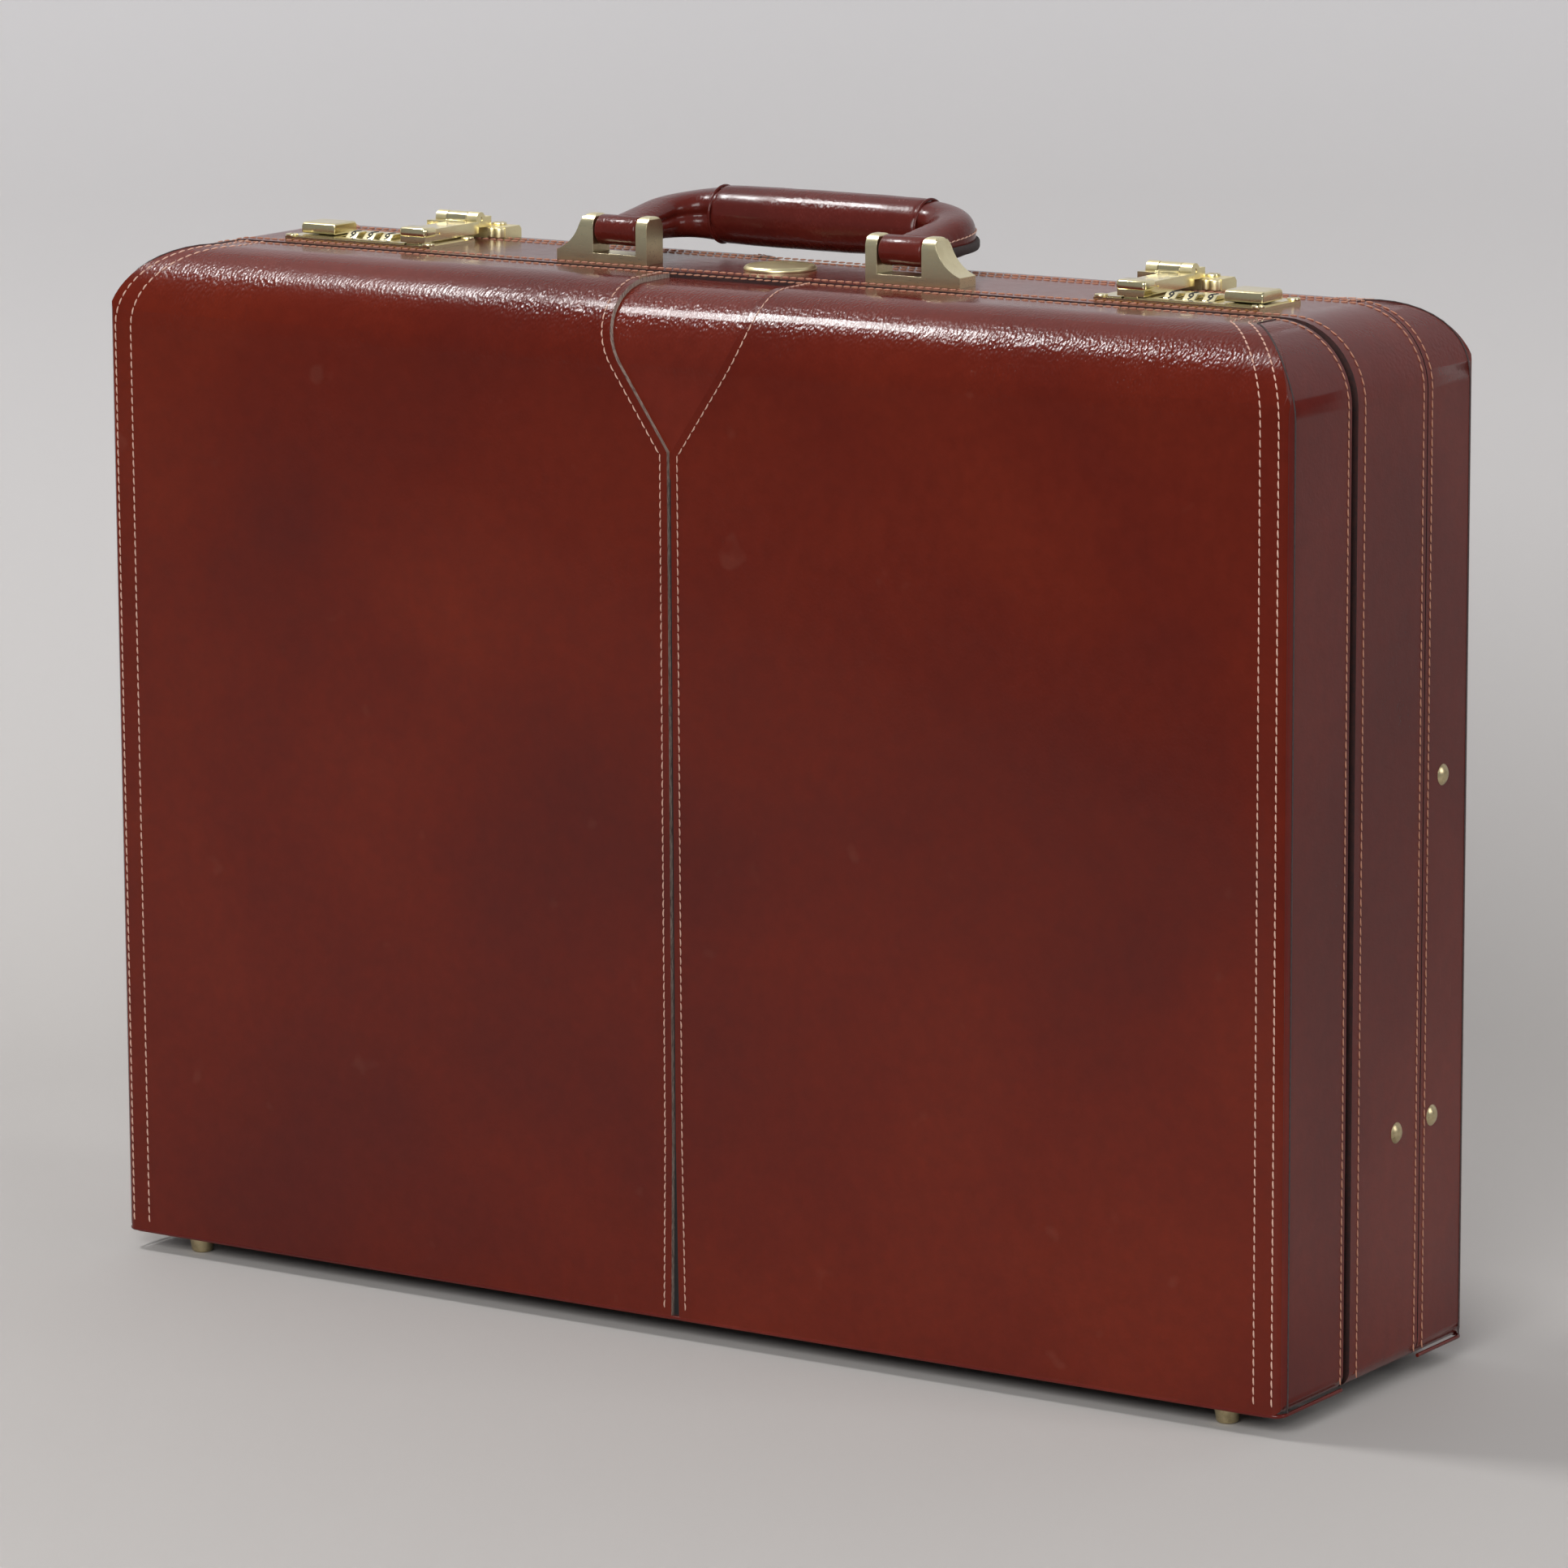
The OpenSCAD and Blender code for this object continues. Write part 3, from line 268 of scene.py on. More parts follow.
# hide: cloudy colour, fine grain, faint scuffs, and crinkles where it is stretched over the rolls
def hideGroup():
    tree, start, end = newGroup("Hide", [
        ("Vector", "NodeSocketVector", None), ("Deep", "NodeSocketColor", None),
        ("Mid", "NodeSocketColor", None), ("Warm", "NodeSocketColor", None),
        ("Cloud Scale", "NodeSocketFloat", 8.0), ("Grain Scale", "NodeSocketFloat", 1100.0),
        ("Scuffs", "NodeSocketFloat", 0.5), ("Crinkle", "NodeSocketFloat", 1.0),
        ("Roll Height", "NodeSocketFloat", 0.334), ("Gloss", "NodeSocketFloat", 0.15)],
        [("Color", "NodeSocketColor"), ("Roughness", "NodeSocketFloat"), ("Height", "NodeSocketFloat"),
         ("Coat", "NodeSocketFloat")])
    vec = start.outputs["Vector"]
    clouds = addNode(tree, "ShaderNodeTexNoise", {"Vector": vec, "Scale": start.outputs["Cloud Scale"],
                     "Detail": 3.0, "Roughness": 0.5, "Distortion": 0.3}).outputs[0]
    fine = addNode(tree, "ShaderNodeTexNoise", {"Vector": vec, "Scale": 210.0, "Detail": 5.0,
                   "Roughness": 0.6}).outputs[0]
    grain = addNode(tree, "ShaderNodeTexVoronoi", {"Vector": vec, "Scale": start.outputs["Grain Scale"]},
                    feature="SMOOTH_F1").outputs["Distance"]
    swell = addNode(tree, "ShaderNodeTexNoise", {"Vector": vec, "Scale": 34.0, "Detail": 2.0}).outputs[0]
    scuff = addNode(tree, "ShaderNodeTexNoise", {"Vector": addNode(tree, "ShaderNodeMapping",
                    {"Vector": vec, "Rotation": (0.3, 0.5, 0.7), "Scale": (60, 900, 60)}).outputs[0],
                    "Scale": 1.0, "Detail": 2.0}).outputs[0]
    # pits and short wrinkles of 1 to 3 mm, strongest on the roll
    pits = addNode(tree, "ShaderNodeTexVoronoi", {"Vector": addNode(tree, "ShaderNodeMapping",
                   {"Vector": vec, "Rotation": (0.2, 0.6, 0.1), "Scale": (1.5, 1.0, 1.0)}).outputs[0],
                   "Scale": 760.0}, feature="SMOOTH_F1").outputs["Distance"]
    patches = addNode(tree, "ShaderNodeTexNoise", {"Vector": vec, "Scale": 28.0, "Detail": 2.0}).outputs[0]
    spot = addNode(tree, "ShaderNodeSeparateXYZ", {0: vec})
    onRoll = ramp(tree, maths(tree, "MULTIPLY", maths(tree, "ABSOLUTE",
                  maths(tree, "SUBTRACT", spot.outputs["Z"], start.outputs["Roll Height"])), 55.0),
                  (0.25, 1.0), (0.95, 0.0))
    crease = maths(tree, "MULTIPLY", maths(tree, "MULTIPLY", onRoll, start.outputs["Crinkle"]),
                   ramp(tree, patches, (0.38, 0.25), (0.60, 1.0)))
    low = mixColor(tree, ramp(tree, clouds, (0.33, 0.0), (0.50, 1.0)), start.outputs["Deep"],
                   start.outputs["Mid"])
    base = mixColor(tree, ramp(tree, clouds, (0.50, 0.0), (0.68, 1.0)), low, start.outputs["Warm"])
    speck = mixColor(tree, 0.25, base, ramp(tree, fine, (0.30, 0.45), (0.70, 1.0)), "MULTIPLY")
    worn = maths(tree, "MULTIPLY", ramp(tree, scuff, (0.70, 0.0), (0.76, 1.0)), start.outputs["Scuffs"])
    tree.links.new(mixColor(tree, maths(tree, "MULTIPLY", worn, 0.18), speck, (0.50, 0.28, 0.20, 1)),
                   end.inputs["Color"])
    rough = maths(tree, "MULTIPLY_ADD", fine, 0.12, start.outputs["Gloss"])
    tree.links.new(maths(tree, "MULTIPLY_ADD", worn, 0.2, rough), end.inputs["Roughness"])
    bumps = maths(tree, "MULTIPLY_ADD", grain, 0.30, maths(tree, "MULTIPLY", fine, 0.6))
    bumps = maths(tree, "MULTIPLY_ADD", maths(tree, "MULTIPLY", pits, crease), 3.8, bumps)
    tree.links.new(maths(tree, "MULTIPLY_ADD", swell, 2.6, bumps), end.inputs["Height"])
    tree.links.new(maths(tree, "MULTIPLY_ADD", clouds, 0.10, 0.06), end.inputs["Coat"])
    return tree


# metal: tarnish in patches, fine brush marks and specks
def metalGroup():
    tree, start, end = newGroup("Worn metal", [
        ("Vector", "NodeSocketVector", None), ("Bright", "NodeSocketColor", None),
        ("Dull", "NodeSocketColor", None), ("Polish", "NodeSocketFloat", 0.12),
        ("Wear", "NodeSocketFloat", 0.5)],
        [("Color", "NodeSocketColor"), ("Roughness", "NodeSocketFloat"), ("Height", "NodeSocketFloat")])
    vec = start.outputs["Vector"]
    patch = addNode(tree, "ShaderNodeTexNoise", {"Vector": vec, "Scale": 150.0, "Detail": 6.0,
                    "Roughness": 0.65}).outputs[0]
    brush = addNode(tree, "ShaderNodeTexNoise", {"Vector": addNode(tree, "ShaderNodeMapping",
                    {"Vector": vec, "Scale": (180, 2600, 2600)}).outputs[0], "Scale": 1.0,
                    "Detail": 3.0}).outputs[0]
    specks = addNode(tree, "ShaderNodeTexNoise", {"Vector": vec, "Scale": 1500.0, "Detail": 2.0}).outputs[0]
    fac = maths(tree, "MULTIPLY", ramp(tree, patch, (0.48, 0.0), (0.74, 1.0)), start.outputs["Wear"])
    pit = maths(tree, "MULTIPLY", ramp(tree, specks, (0.66, 0.0), (0.74, 1.0)), start.outputs["Wear"])
    color = mixColor(tree, fac, start.outputs["Bright"], start.outputs["Dull"])
    color = mixColor(tree, maths(tree, "MULTIPLY", pit, 0.5), color, (0.16, 0.11, 0.05, 1))
    tree.links.new(color, end.inputs["Color"])
    rough = maths(tree, "MULTIPLY_ADD", fac, 0.20, start.outputs["Polish"])
    tree.links.new(maths(tree, "MULTIPLY_ADD", brush, 0.10, rough), end.inputs["Roughness"])
    tree.links.new(maths(tree, "MULTIPLY_ADD", patch, 0.6, brush), end.inputs["Height"])
    return tree


# cloth: plain weave with slubs
def clothGroup():
    tree, start, end = newGroup("Woven cloth", [
        ("Vector", "NodeSocketVector", None), ("Thread", "NodeSocketColor", None),
        ("Gap", "NodeSocketColor", None), ("Pitch", "NodeSocketFloat", 1400.0)],
        [("Color", "NodeSocketColor"), ("Roughness", "NodeSocketFloat"), ("Height", "NodeSocketFloat")])
    vec = start.outputs["Vector"]
    waves = []
    for turn in ((0, 0, 0), (0, 1.5708, 0), (0, 0, 1.5708)):
        placed = addNode(tree, "ShaderNodeMapping", {"Vector": vec, "Rotation": turn})
        waves.append(addNode(tree, "ShaderNodeTexWave", {"Vector": placed.outputs[0],
                     "Scale": start.outputs["Pitch"], "Distortion": 0.6, "Detail": 1.0}).outputs["Fac"])
    weave = maths(tree, "MAXIMUM", maths(tree, "MULTIPLY", waves[0], waves[1]),
                  maths(tree, "MULTIPLY", waves[1], waves[2]))
    slub = addNode(tree, "ShaderNodeTexNoise", {"Vector": vec, "Scale": 70.0, "Detail": 5.0}).outputs[0]
    color = mixColor(tree, weave, start.outputs["Gap"], start.outputs["Thread"])
    color = mixColor(tree, 0.35, color, ramp(tree, slub, (0.3, 0.5), (0.7, 1.0)), "MULTIPLY")
    tree.links.new(color, end.inputs["Color"])
    tree.links.new(maths(tree, "MULTIPLY_ADD", slub, 0.2, 0.72), end.inputs["Roughness"])
    tree.links.new(weave, end.inputs["Height"])
    return tree


# ply, thread and cut leather: fibres, with darker ones between
def fibreGroup():
    tree, start, end = newGroup("Fibres", [
        ("Vector", "NodeSocketVector", None), ("Light", "NodeSocketColor", None),
        ("Dark", "NodeSocketColor", None), ("Scale", "NodeSocketFloat", 300.0)],
        [("Color", "NodeSocketColor"), ("Roughness", "NodeSocketFloat"), ("Height", "NodeSocketFloat")])
    placed = addNode(tree, "ShaderNodeMapping", {"Vector": start.outputs["Vector"],
                     "Scale": (1.0, 6.0, 1.0)})
    streak = addNode(tree, "ShaderNodeTexNoise", {"Vector": placed.outputs[0],
                     "Scale": start.outputs["Scale"], "Detail": 6.0, "Roughness": 0.7}).outputs[0]
    tree.links.new(mixColor(tree, ramp(tree, streak, (0.35, 0.0), (0.65, 1.0)), start.outputs["Dark"],
                            start.outputs["Light"]), end.inputs["Color"])
    tree.links.new(maths(tree, "MULTIPLY_ADD", streak, 0.25, 0.6), end.inputs["Roughness"])
    tree.links.new(streak, end.inputs["Height"])
    return tree


groups = {"hide": hideGroup(), "metal": metalGroup(), "cloth": clothGroup(), "fibres": fibreGroup()}


def newMaterial(name, groupName, values, bump, distance, shift=(0, 0, 0), **surface):
    material = bpy.data.materials.new(name)
    material.use_nodes = True
    tree = material.node_tree
    shader = tree.nodes["Principled BSDF"]
    vec = addNode(tree, "ShaderNodeTexCoord").outputs["Object"]
    if any(shift):
        vec = addNode(tree, "ShaderNodeMapping", {"Vector": vec, "Location": shift}).outputs[0]
    group = addNode(tree, "ShaderNodeGroup", node_tree=groups[groupName])
    tree.links.new(vec, group.inputs["Vector"])
    for key, value in values.items():
        group.inputs[key].default_value = (*value, 1) if isinstance(value, tuple) else value
    tree.links.new(group.outputs["Color"], shader.inputs["Base Color"])
    tree.links.new(group.outputs["Roughness"], shader.inputs["Roughness"])
    if "Coat" in group.outputs:
        tree.links.new(group.outputs["Coat"], shader.inputs["Coat Weight"])
    relief = addNode(tree, "ShaderNodeBump", {"Strength": bump, "Distance": distance,
                     "Height": group.outputs["Height"]})
    tree.links.new(relief.outputs[0], shader.inputs["Normal"])
    for key, value in surface.items():
        shader.inputs[key.replace("_", " ")].default_value = value
    return material


def leatherMaterial(name, deep, mid, warm, bump=0.4, shift=(0, 0, 0), polish=0.07, **more):
    values = {"Deep": deep, "Mid": mid, "Warm": warm}
    values.update(more)
    return newMaterial(name, "hide", values, bump, 0.0002, shift, Coat_Roughness=polish,
                       Specular_IOR_Level=0.22)


def brassMaterial(name, bright, dull, polish, wear, bump=0.2):
    return newMaterial(name, "metal", {"Bright": bright, "Dull": dull, "Polish": polish, "Wear": wear},
                       bump, 0.00004, Metallic=1.0)


def fibreMaterial(name, light, dark, scale, bump=0.5, distance=0.0001):
    return newMaterial(name, "fibres", {"Light": light, "Dark": dark, "Scale": scale}, bump, distance)


materials = {
    "face_leather": leatherMaterial("Oxblood leather, face", (0.080, 0.0072, 0.0034),
                                    (0.103, 0.0082, 0.0022), (0.124, 0.0110, 0.0025), Scuffs=0.15),
    "side_leather": leatherMaterial("Oxblood leather, sides", (0.074, 0.0068, 0.0046),
                                    (0.098, 0.0085, 0.0050), (0.128, 0.0135, 0.0070), polish=0.2,
                                    Crinkle=0.3, Gloss=0.17, Scuffs=0.1),
    "panel_leather": leatherMaterial("Red leather, panel", (0.095, 0.0095, 0.0040), (0.122, 0.0115, 0.0045),
                                     (0.145, 0.0160, 0.0055), bump=0.5),
    "dark_leather": leatherMaterial("Dark leather", (0.022, 0.0045, 0.004), (0.045, 0.0075, 0.006),
                                    (0.075, 0.013, 0.008), Crinkle=0.0, Scuffs=0.15),
    "grip_leather": leatherMaterial("Oxblood leather, handle", (0.070, 0.0090, 0.0065),
                                    (0.096, 0.0110, 0.0070), (0.120, 0.0160, 0.0090), bump=0.3,
                                    shift=(0, 0, -0.026), Crinkle=0.8, Gloss=0.2),
    "polished_brass": brassMaterial("Polished brass", (0.86, 0.77, 0.47), (0.66, 0.54, 0.28), 0.12, 0.4),
    "cast_brass": brassMaterial("Cast brass", (0.90, 0.80, 0.48), (0.70, 0.57, 0.30), 0.32, 0.4, 0.3),
    "satin_brass": brassMaterial("Satin brass", (0.80, 0.72, 0.46), (0.60, 0.50, 0.28), 0.24, 0.45, 0.3),
    "antique_brass": brassMaterial("Antique brass", (0.60, 0.50, 0.30), (0.24, 0.18, 0.09), 0.26, 0.8, 0.3),
    "black_cloth": newMaterial("Black cloth", "cloth", {"Thread": (0.018, 0.017, 0.018),
                               "Gap": (0.004, 0.004, 0.004)}, 0.6, 0.0002),
    "lining": newMaterial("Brown lining", "cloth", {"Thread": (0.115, 0.070, 0.040),
                          "Gap": (0.045, 0.026, 0.014), "Pitch": 900.0}, 0.6, 0.0002),
    "plywood": fibreMaterial("Plywood", (0.52, 0.34, 0.17), (0.28, 0.16, 0.07), 300.0, 0.4, 0.0002),
    "raw_edge": fibreMaterial("Cut leather edge", (0.46, 0.36, 0.30), (0.06, 0.026, 0.020), 420.0),
    "dark_edge": fibreMaterial("Painted leather edge", (0.050, 0.034, 0.032), (0.014, 0.007, 0.007), 700.0),
    "groove_edge": fibreMaterial("Dyed leather edge", (0.045, 0.010, 0.007), (0.016, 0.004, 0.004), 700.0),
    "front_thread": fibreMaterial("Salmon thread", (0.64, 0.42, 0.33), (0.46, 0.25, 0.18), 2500.0),
    "side_thread": fibreMaterial("Rust thread", (0.47, 0.235, 0.15), (0.30, 0.12, 0.07), 2500.0),
    "ink": fibreMaterial("Black ink", (0.02, 0.018, 0.016), (0.008, 0.007, 0.006), 300.0, 0.2),
}
print("materials made")


def dress(node, width=0.0, cut=None, cutMaterial="groove_edge"):
    # a copy of a CAD node with its edges rounded; faces that cut() names take a second material
    source = frame["nodes"][node]
    piece = bpy.data.objects.new(node + "_finished", source.data.copy())
    bpy.context.collection.objects.link(piece)
    choose(piece)
    if piece.data.has_custom_normals:
        bpy.ops.mesh.customdata_custom_splitnormals_clear()
    bpy.ops.object.mode_set(mode="EDIT")
    bpy.ops.mesh.select_all(action="SELECT")
    bpy.ops.mesh.remove_doubles(threshold=0.000002)
    bpy.ops.mesh.dissolve_limited(angle_limit=math.radians(0.6))
    bpy.ops.object.mode_set(mode="OBJECT")
    if width:
        modify(piece, "BEVEL", width=width * mm, segments=2, limit_method="ANGLE",
               angle_limit=math.radians(30), use_clamp_overlap=True)
        applyAll(piece)
    smooth(piece)
    modify(piece, "WEIGHTED_NORMAL", keep_sharp=True, weight=50)
    applyAll(piece)
    slotName = slotOf[node]
    settle(piece, bodyOf[node], slotName, materials[slotName], *([materials[cutMaterial]] if cut else []))
    if cut:
        for face in piece.data.polygons:
            if cut(face.center / mm, face.normal):
                face.material_index = 1
    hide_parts(node)


def faceCut(c, n):
    # the cut edges of a face panel, at the V and slit
    return abs(n.x) > 0.5 and abs(c.x) < 40


def mouthCut(c, n):
    return abs(n.y) > 0.9 or abs(n.z) > 0.9 and c.z < 8


def faceMouth(c, n):
    return abs(n.y) > 0.9 and abs(c.y) < 33


# how far each node's edges are rounded, in millimetres
plainNodes = {"lock_plate_left": 0.2, "lock_plate_right": 0.2, "medallion": 0.15,
              "handle_bracket_left": 0.35, "handle_bracket_right": 0.35, "hasp_bracket_left": 0.8,
              "hasp_bracket_right": 0.8, "hasp_left": 0.6, "hasp_right": 0.6, "slider_left": 0.6,
              "slider_right": 0.6, "front_feet": 0.2, "lid_feet": 0.2, "base_rivets": 0.1,
              "lid_rivets": 0.1, "hinge_leaf_base": 0.1, "hinge_leaf_lid": 0.1, "stay_base_left": 0.2,
              "stay_base_right": 0.2, "stay_lid_left": 0.2, "stay_lid_right": 0.2, "organizer": 0.4,
              "base_lip": 0.3, "expansion_studs": 0.1}
for hand, label in hands:
    for index in range(lock["dials"]):
        plainNodes["dial_%s_%d" % (label, index + 1)] = 0.5
# the same, with the faces that are cut edges and their material
cutNodes = {"front_face_left": (0.3, faceCut, "raw_edge"), "front_face_right": (0.3, faceCut, "raw_edge"),
            "lid_face_left": (0.3, faceCut, "raw_edge"), "lid_face_right": (0.3, faceCut, "raw_edge"),
            "front_side_leather": (0.3, mouthCut, "groove_edge"),
            "base_leather": (0.3, mouthCut, "groove_edge"),
            "lid_side_leather": (0.3, mouthCut, "groove_edge"), "front_frame": (0, mouthCut, "groove_edge"),
            "base_frame": (0, mouthCut, "groove_edge"), "lid_frame": (0, mouthCut, "groove_edge"),
            "front_v_panel": (0, faceMouth, "groove_edge"), "lid_v_panel": (0, faceMouth, "groove_edge")}
for node, width in plainNodes.items():
    dress(node, width)
for node, (width, cut, cutMaterial) in cutNodes.items():
    dress(node, width, cut=cut, cutMaterial=cutMaterial)
bpy.data.objects["medallion_finished"].data.materials[0] = materials["cast_brass"]


def dialX(hand, index):
    return hand * (lock["dial"] + lock["dialPitch"] * index) * mm


# each hasp's bracket is set back past its screw, and its front is scalloped by two round lobes
bracketEnd = {"from": 10.0, "reach": 5.5, "share": 0.75}
lobes = {"places": ((10.9, 2.3), (7.7, 1.5)), "y": 28.9, "low": 0.1, "high": 3.9, "edge": 0.5}
for hand, label in hands:
    bracket = bpy.data.objects["hasp_bracket_%s_finished" % label]
    bracket.data.materials[0] = materials["cast_brass"]
    for v in bracket.data.vertices:
        past = v.co.x / mm - hand * lock["hasp"] - bracketEnd["from"]
        if past > 0:
            v.co.x -= min(past, bracketEnd["reach"]) * bracketEnd["share"] * mm
    for index, (past, radius) in enumerate(lobes["places"]):
        bpy.ops.mesh.primitive_cylinder_add(
            vertices=32, radius=radius * mm, depth=(lobes["high"] - lobes["low"]) * mm,
            location=((hand * lock["hasp"] + past) * mm, lobes["y"] * mm,
                      (case["top"] + (lobes["low"] + lobes["high"]) / 2) * mm))
        lobe = bpy.context.object
        lobe.name = "hasp_lobe_%s_%d" % (label, index + 1)
        modify(lobe, "BEVEL", width=lobes["edge"] * mm, segments=3, limit_method="ANGLE",
               angle_limit=math.radians(50))
        applyAll(lobe)
        smooth(lobe, 40)
        settle(lobe, "lid", "polished_brass", materials["cast_brass"])
# the dials are drawn in a little from their neighbours
dialWidth = 0.8
for hand, label in hands:
    for index in range(lock["dials"]):
        dial = bpy.data.objects["dial_%s_%d_finished" % (label, index + 1)]
        middle = dialX(hand, index)
        for v in dial.data.vertices:
            v.co.x = middle + (v.co.x - middle) * dialWidth
for node, obj in frame["nodes"].items():
    if node not in plainNodes and node not in cutNodes:
        obj.data.materials.clear()
        obj.data.materials.append(materials[slotOf[node]])
        smooth(obj)
print("frame dressed")


# the lines that stitches and raw edges follow
def surfaceY(z, side):
    # the face's y at a height, side -1 for the front and 1 for the lid
    if z <= case["rollZ"]:
        return side * case["faceY"]
    drop = min(z - case["rollZ"], case["rollR"])
    return side * (case["rollY"] + math.sqrt(max(case["rollR"] ** 2 - drop ** 2, 0)))


def mouthOf(side):
    return abs(case["frontMouth"]) if side < 0 else case["lidMouth"]


def ringLine(y, lift=0.1, low=9.0):
    # up one side of the case, over the top and down the other
    r = case["cornerR"] + lift
    line = [(case["halfW"] + lift, y, low), (case["halfW"] + lift, y, case["rollZ"])]
    for i in range(1, 13):
        a = math.radians(7.5 * i)
        line.append((case["cornerX"] + r * math.cos(a), y, case["rollZ"] + r * math.sin(a)))
    return line + [(-x, y, z) for x, y, z in reversed(line)]


def faceEdgeLine(side, hand, inset, lift=0.1):
    x0 = case["cornerX"] - inset
    r = case["rollR"] + lift
    line = [(hand * (case["halfW"] - inset), side * (case["faceY"] + lift), 10.0)]
    for i in range(13):
        a = math.radians(90 - 7.5 * i)
        line.append((hand * (x0 + case["cornerR"] * math.sin(a)), side * (case["rollY"] + r * math.sin(a)),
                     case["rollZ"] + r * math.cos(a)))
    line.append((hand * x0, side * (mouthOf(side) + 1.5), case["top"] + lift))
    return line


def mitreLine(side, hand, out=0.0, low=8.0):
    # where the face leather ends on the side leather
    edge = 4.0
    line = [(hand * (case["halfW"] + out), side * (case["faceY"] - edge), low),
            (hand * (case["halfW"] + out), side * (case["faceY"] - edge), case["rollZ"] - 8)]
    for i in range(13):
        a = math.radians(90 - 7.5 * i)
        pull = edge * max(0.0, math.sin(a)) ** 6
        line.append((hand * (case["cornerX"] + (case["cornerR"] + out) * math.sin(a)),
                     side * (case["rollY"] + case["rollR"] * math.sin(a) - pull),
                     case["rollZ"] + (case["rollR"] + out) * math.cos(a)))
    line.append((hand * case["cornerX"], side * (mouthOf(side) + 0.6), case["top"] + out))
    return line


def resampleFlat(points, step):
    return [(p.x, p.y) for p in resample([Vector((x, z, 0)) for x, z in points], step)]


# the V: half its width, its tip's drop below the top, how its flanks curve and lean, and how much lower its
# tip is for a row further out; slit is how far the rows beside the slit lie from the middle
vee = {"half": 26.0, "drop": 53.5, "flankR": 40.0, "lean": math.radians(34.3), "tipShift": 1.7, "slit": 3.4}


def centreLine(side, hand, inset, lift=0.1):
    # beside the slit, along the V and over the roll to the mouth
    flankR, lean, start = vee["flankR"], vee["lean"], vee["slit"]
    b = vee["half"] + inset
    tipZ = case["top"] - vee["drop"] - vee["tipShift"] * inset
    outline = []
    for i in range(9):
        a = lean * (1 - i / 8)
        x = b - flankR + flankR * math.cos(a)
        z = tipZ + (b - flankR + flankR * math.cos(lean)) / math.tan(lean) \
            + flankR * (math.sin(lean) - math.sin(a))
        outline.append((x, z))
    tipRise = (outline[0][1] - tipZ) * start / outline[0][0]
    flat = [(start + 0.8, 10.0), (start, 66.0), (start, tipZ + tipRise)]
    flat += resampleFlat([(start, tipZ + tipRise)] + outline, 3.0)[1:]
    # over the roll in short steps, then flat to the mouth
    for i in range(1, 13):
        z = case["rollZ"] + case["rollR"] * math.sin(math.radians(7.5 * i))
        if z > flat[-1][1] + 0.3:
            flat.append((b, z))
    line = []
    for x, z in flat:
        y = surfaceY(z, side)
        n = Vector((0, side, 0))
        if z > case["rollZ"]:
            n = Vector((0, y - side * case["rollY"], z - case["rollZ"])).normalized()
        line.append((hand * x, y + n.y * lift, z + n.z * lift))
    line.append((hand * b, side * (mouthOf(side) + 1.5), case["top"] + lift))
    return line


# half length, width and height of a stitch, where its middle lies, and how its ends dip and turn
stitchShape = {"half": (1.38, 0.29, 0.22), "middle": 1.52, "run": 1.36, "dip": 0.22, "slant": 0.10,
               "pitch": 3.05}


def makeStitch():
    # one lock stitch: a bead that dips at both ends
    bpy.ops.mesh.primitive_uv_sphere_add(segments=8, ring_count=7, radius=1.0, rotation=(0, math.pi / 2, 0))
    bead = bpy.context.object
    bead.name = "stitch"
    bpy.ops.object.transform_apply(location=False, rotation=True, scale=False)
    bpy.ops.object.mode_set(mode="EDIT")
    bpy.ops.mesh.select_all(action="SELECT")
    bpy.ops.transform.resize(value=[size * mm for size in stitchShape["half"]])
    bpy.ops.transform.translate(value=(stitchShape["middle"] * mm, 0, 0))
    bpy.ops.object.mode_set(mode="OBJECT")
    for v in bead.data.vertices:
        along = (v.co.x / mm - stitchShape["middle"]) / stitchShape["run"]
        v.co.z -= stitchShape["dip"] * mm * along * along
        v.co.y += stitchShape["slant"] * mm * along
    smooth(bead, 60)
    return bead


stitch = makeStitch()


def sew(name, points, body, slotName, thread, pitch=stitchShape["pitch"]):
    path = fromPoints(name + "_path", points)
    row = copyOf(stitch, name)
    modify(row, "ARRAY", fit_type="FIT_CURVE", curve=path, use_relative_offset=False,
           use_constant_offset=True, constant_offset_displace=(pitch * mm, 0, 0))
    modify(row, "CURVE", object=path, deform_axis="POS_X")
    applyAll(row)
    settle(row, body, slotName, materials[thread])
    bpy.data.objects.remove(path)


# how far in from a face's side its rows lie, how far outside the V, and the y of each row over the top
faceInsets, centreInset = (3.5, 10.0), 3.0
ringRows = {"front_mouth_stitches": (-22.7, "front_shell"), "band_front_stitches": (-12.2, "base"),
            "band_rear_stitches": (25.5, "base"), "lid_mouth_stitches": (31.0, "lid")}
# how far out and how thick the dark cord on each mitre is: partly the face leather's painted edge, partly
# painted shadow of the gap
edgeAndShadowCordSize = {"out": 0.02, "r": 0.28}
for side, body, label in shells:
    for hand, handName in hands:
        for inset in faceInsets:
            sew("%s_edge_stitches_%s_%d" % (label, handName, inset), faceEdgeLine(side, hand, inset), body,
                "face_leather", "front_thread")
        sew("%s_centre_stitches_%s" % (label, handName), centreLine(side, hand, centreInset), body,
            "face_leather", "front_thread")
        # a thin near-black cord on the mitre line, partly the face leather's painted edge and partly painted
        # shadow of the gap where the side leather runs under it
        edgeAndShadowCord = toMesh(fromPoints("%s_raw_edge_%s" % (label, handName),
                                    mitreLine(side, hand, edgeAndShadowCordSize["out"]), edgeAndShadowCordSize["r"]))
        settle(edgeAndShadowCord, body, "side_leather", materials["dark_edge"])
for name, (y, body) in ringRows.items():
    sew(name, ringLine(y), body, "side_leather", "side_thread")
print("stitching sewn")


# the handle lies folded: x across, y away from its pivot bar, z up from the plane it lies in
handle = {"y": -4.5, "z": case["top"] + 10.5, "tilt": math.radians(4), "reach": 38.0, "gripL": 80.0,
          "padR": 9.75, "padL": 82.0, "padSwell": 0.6, "pitch": 111.2, "bendR": 16.2, "loopR": 5.0,
          "loopL": 16.2, "holeR": 2.15, "armL": 47.0, "ringX": 40.4, "ringR": 0.5}
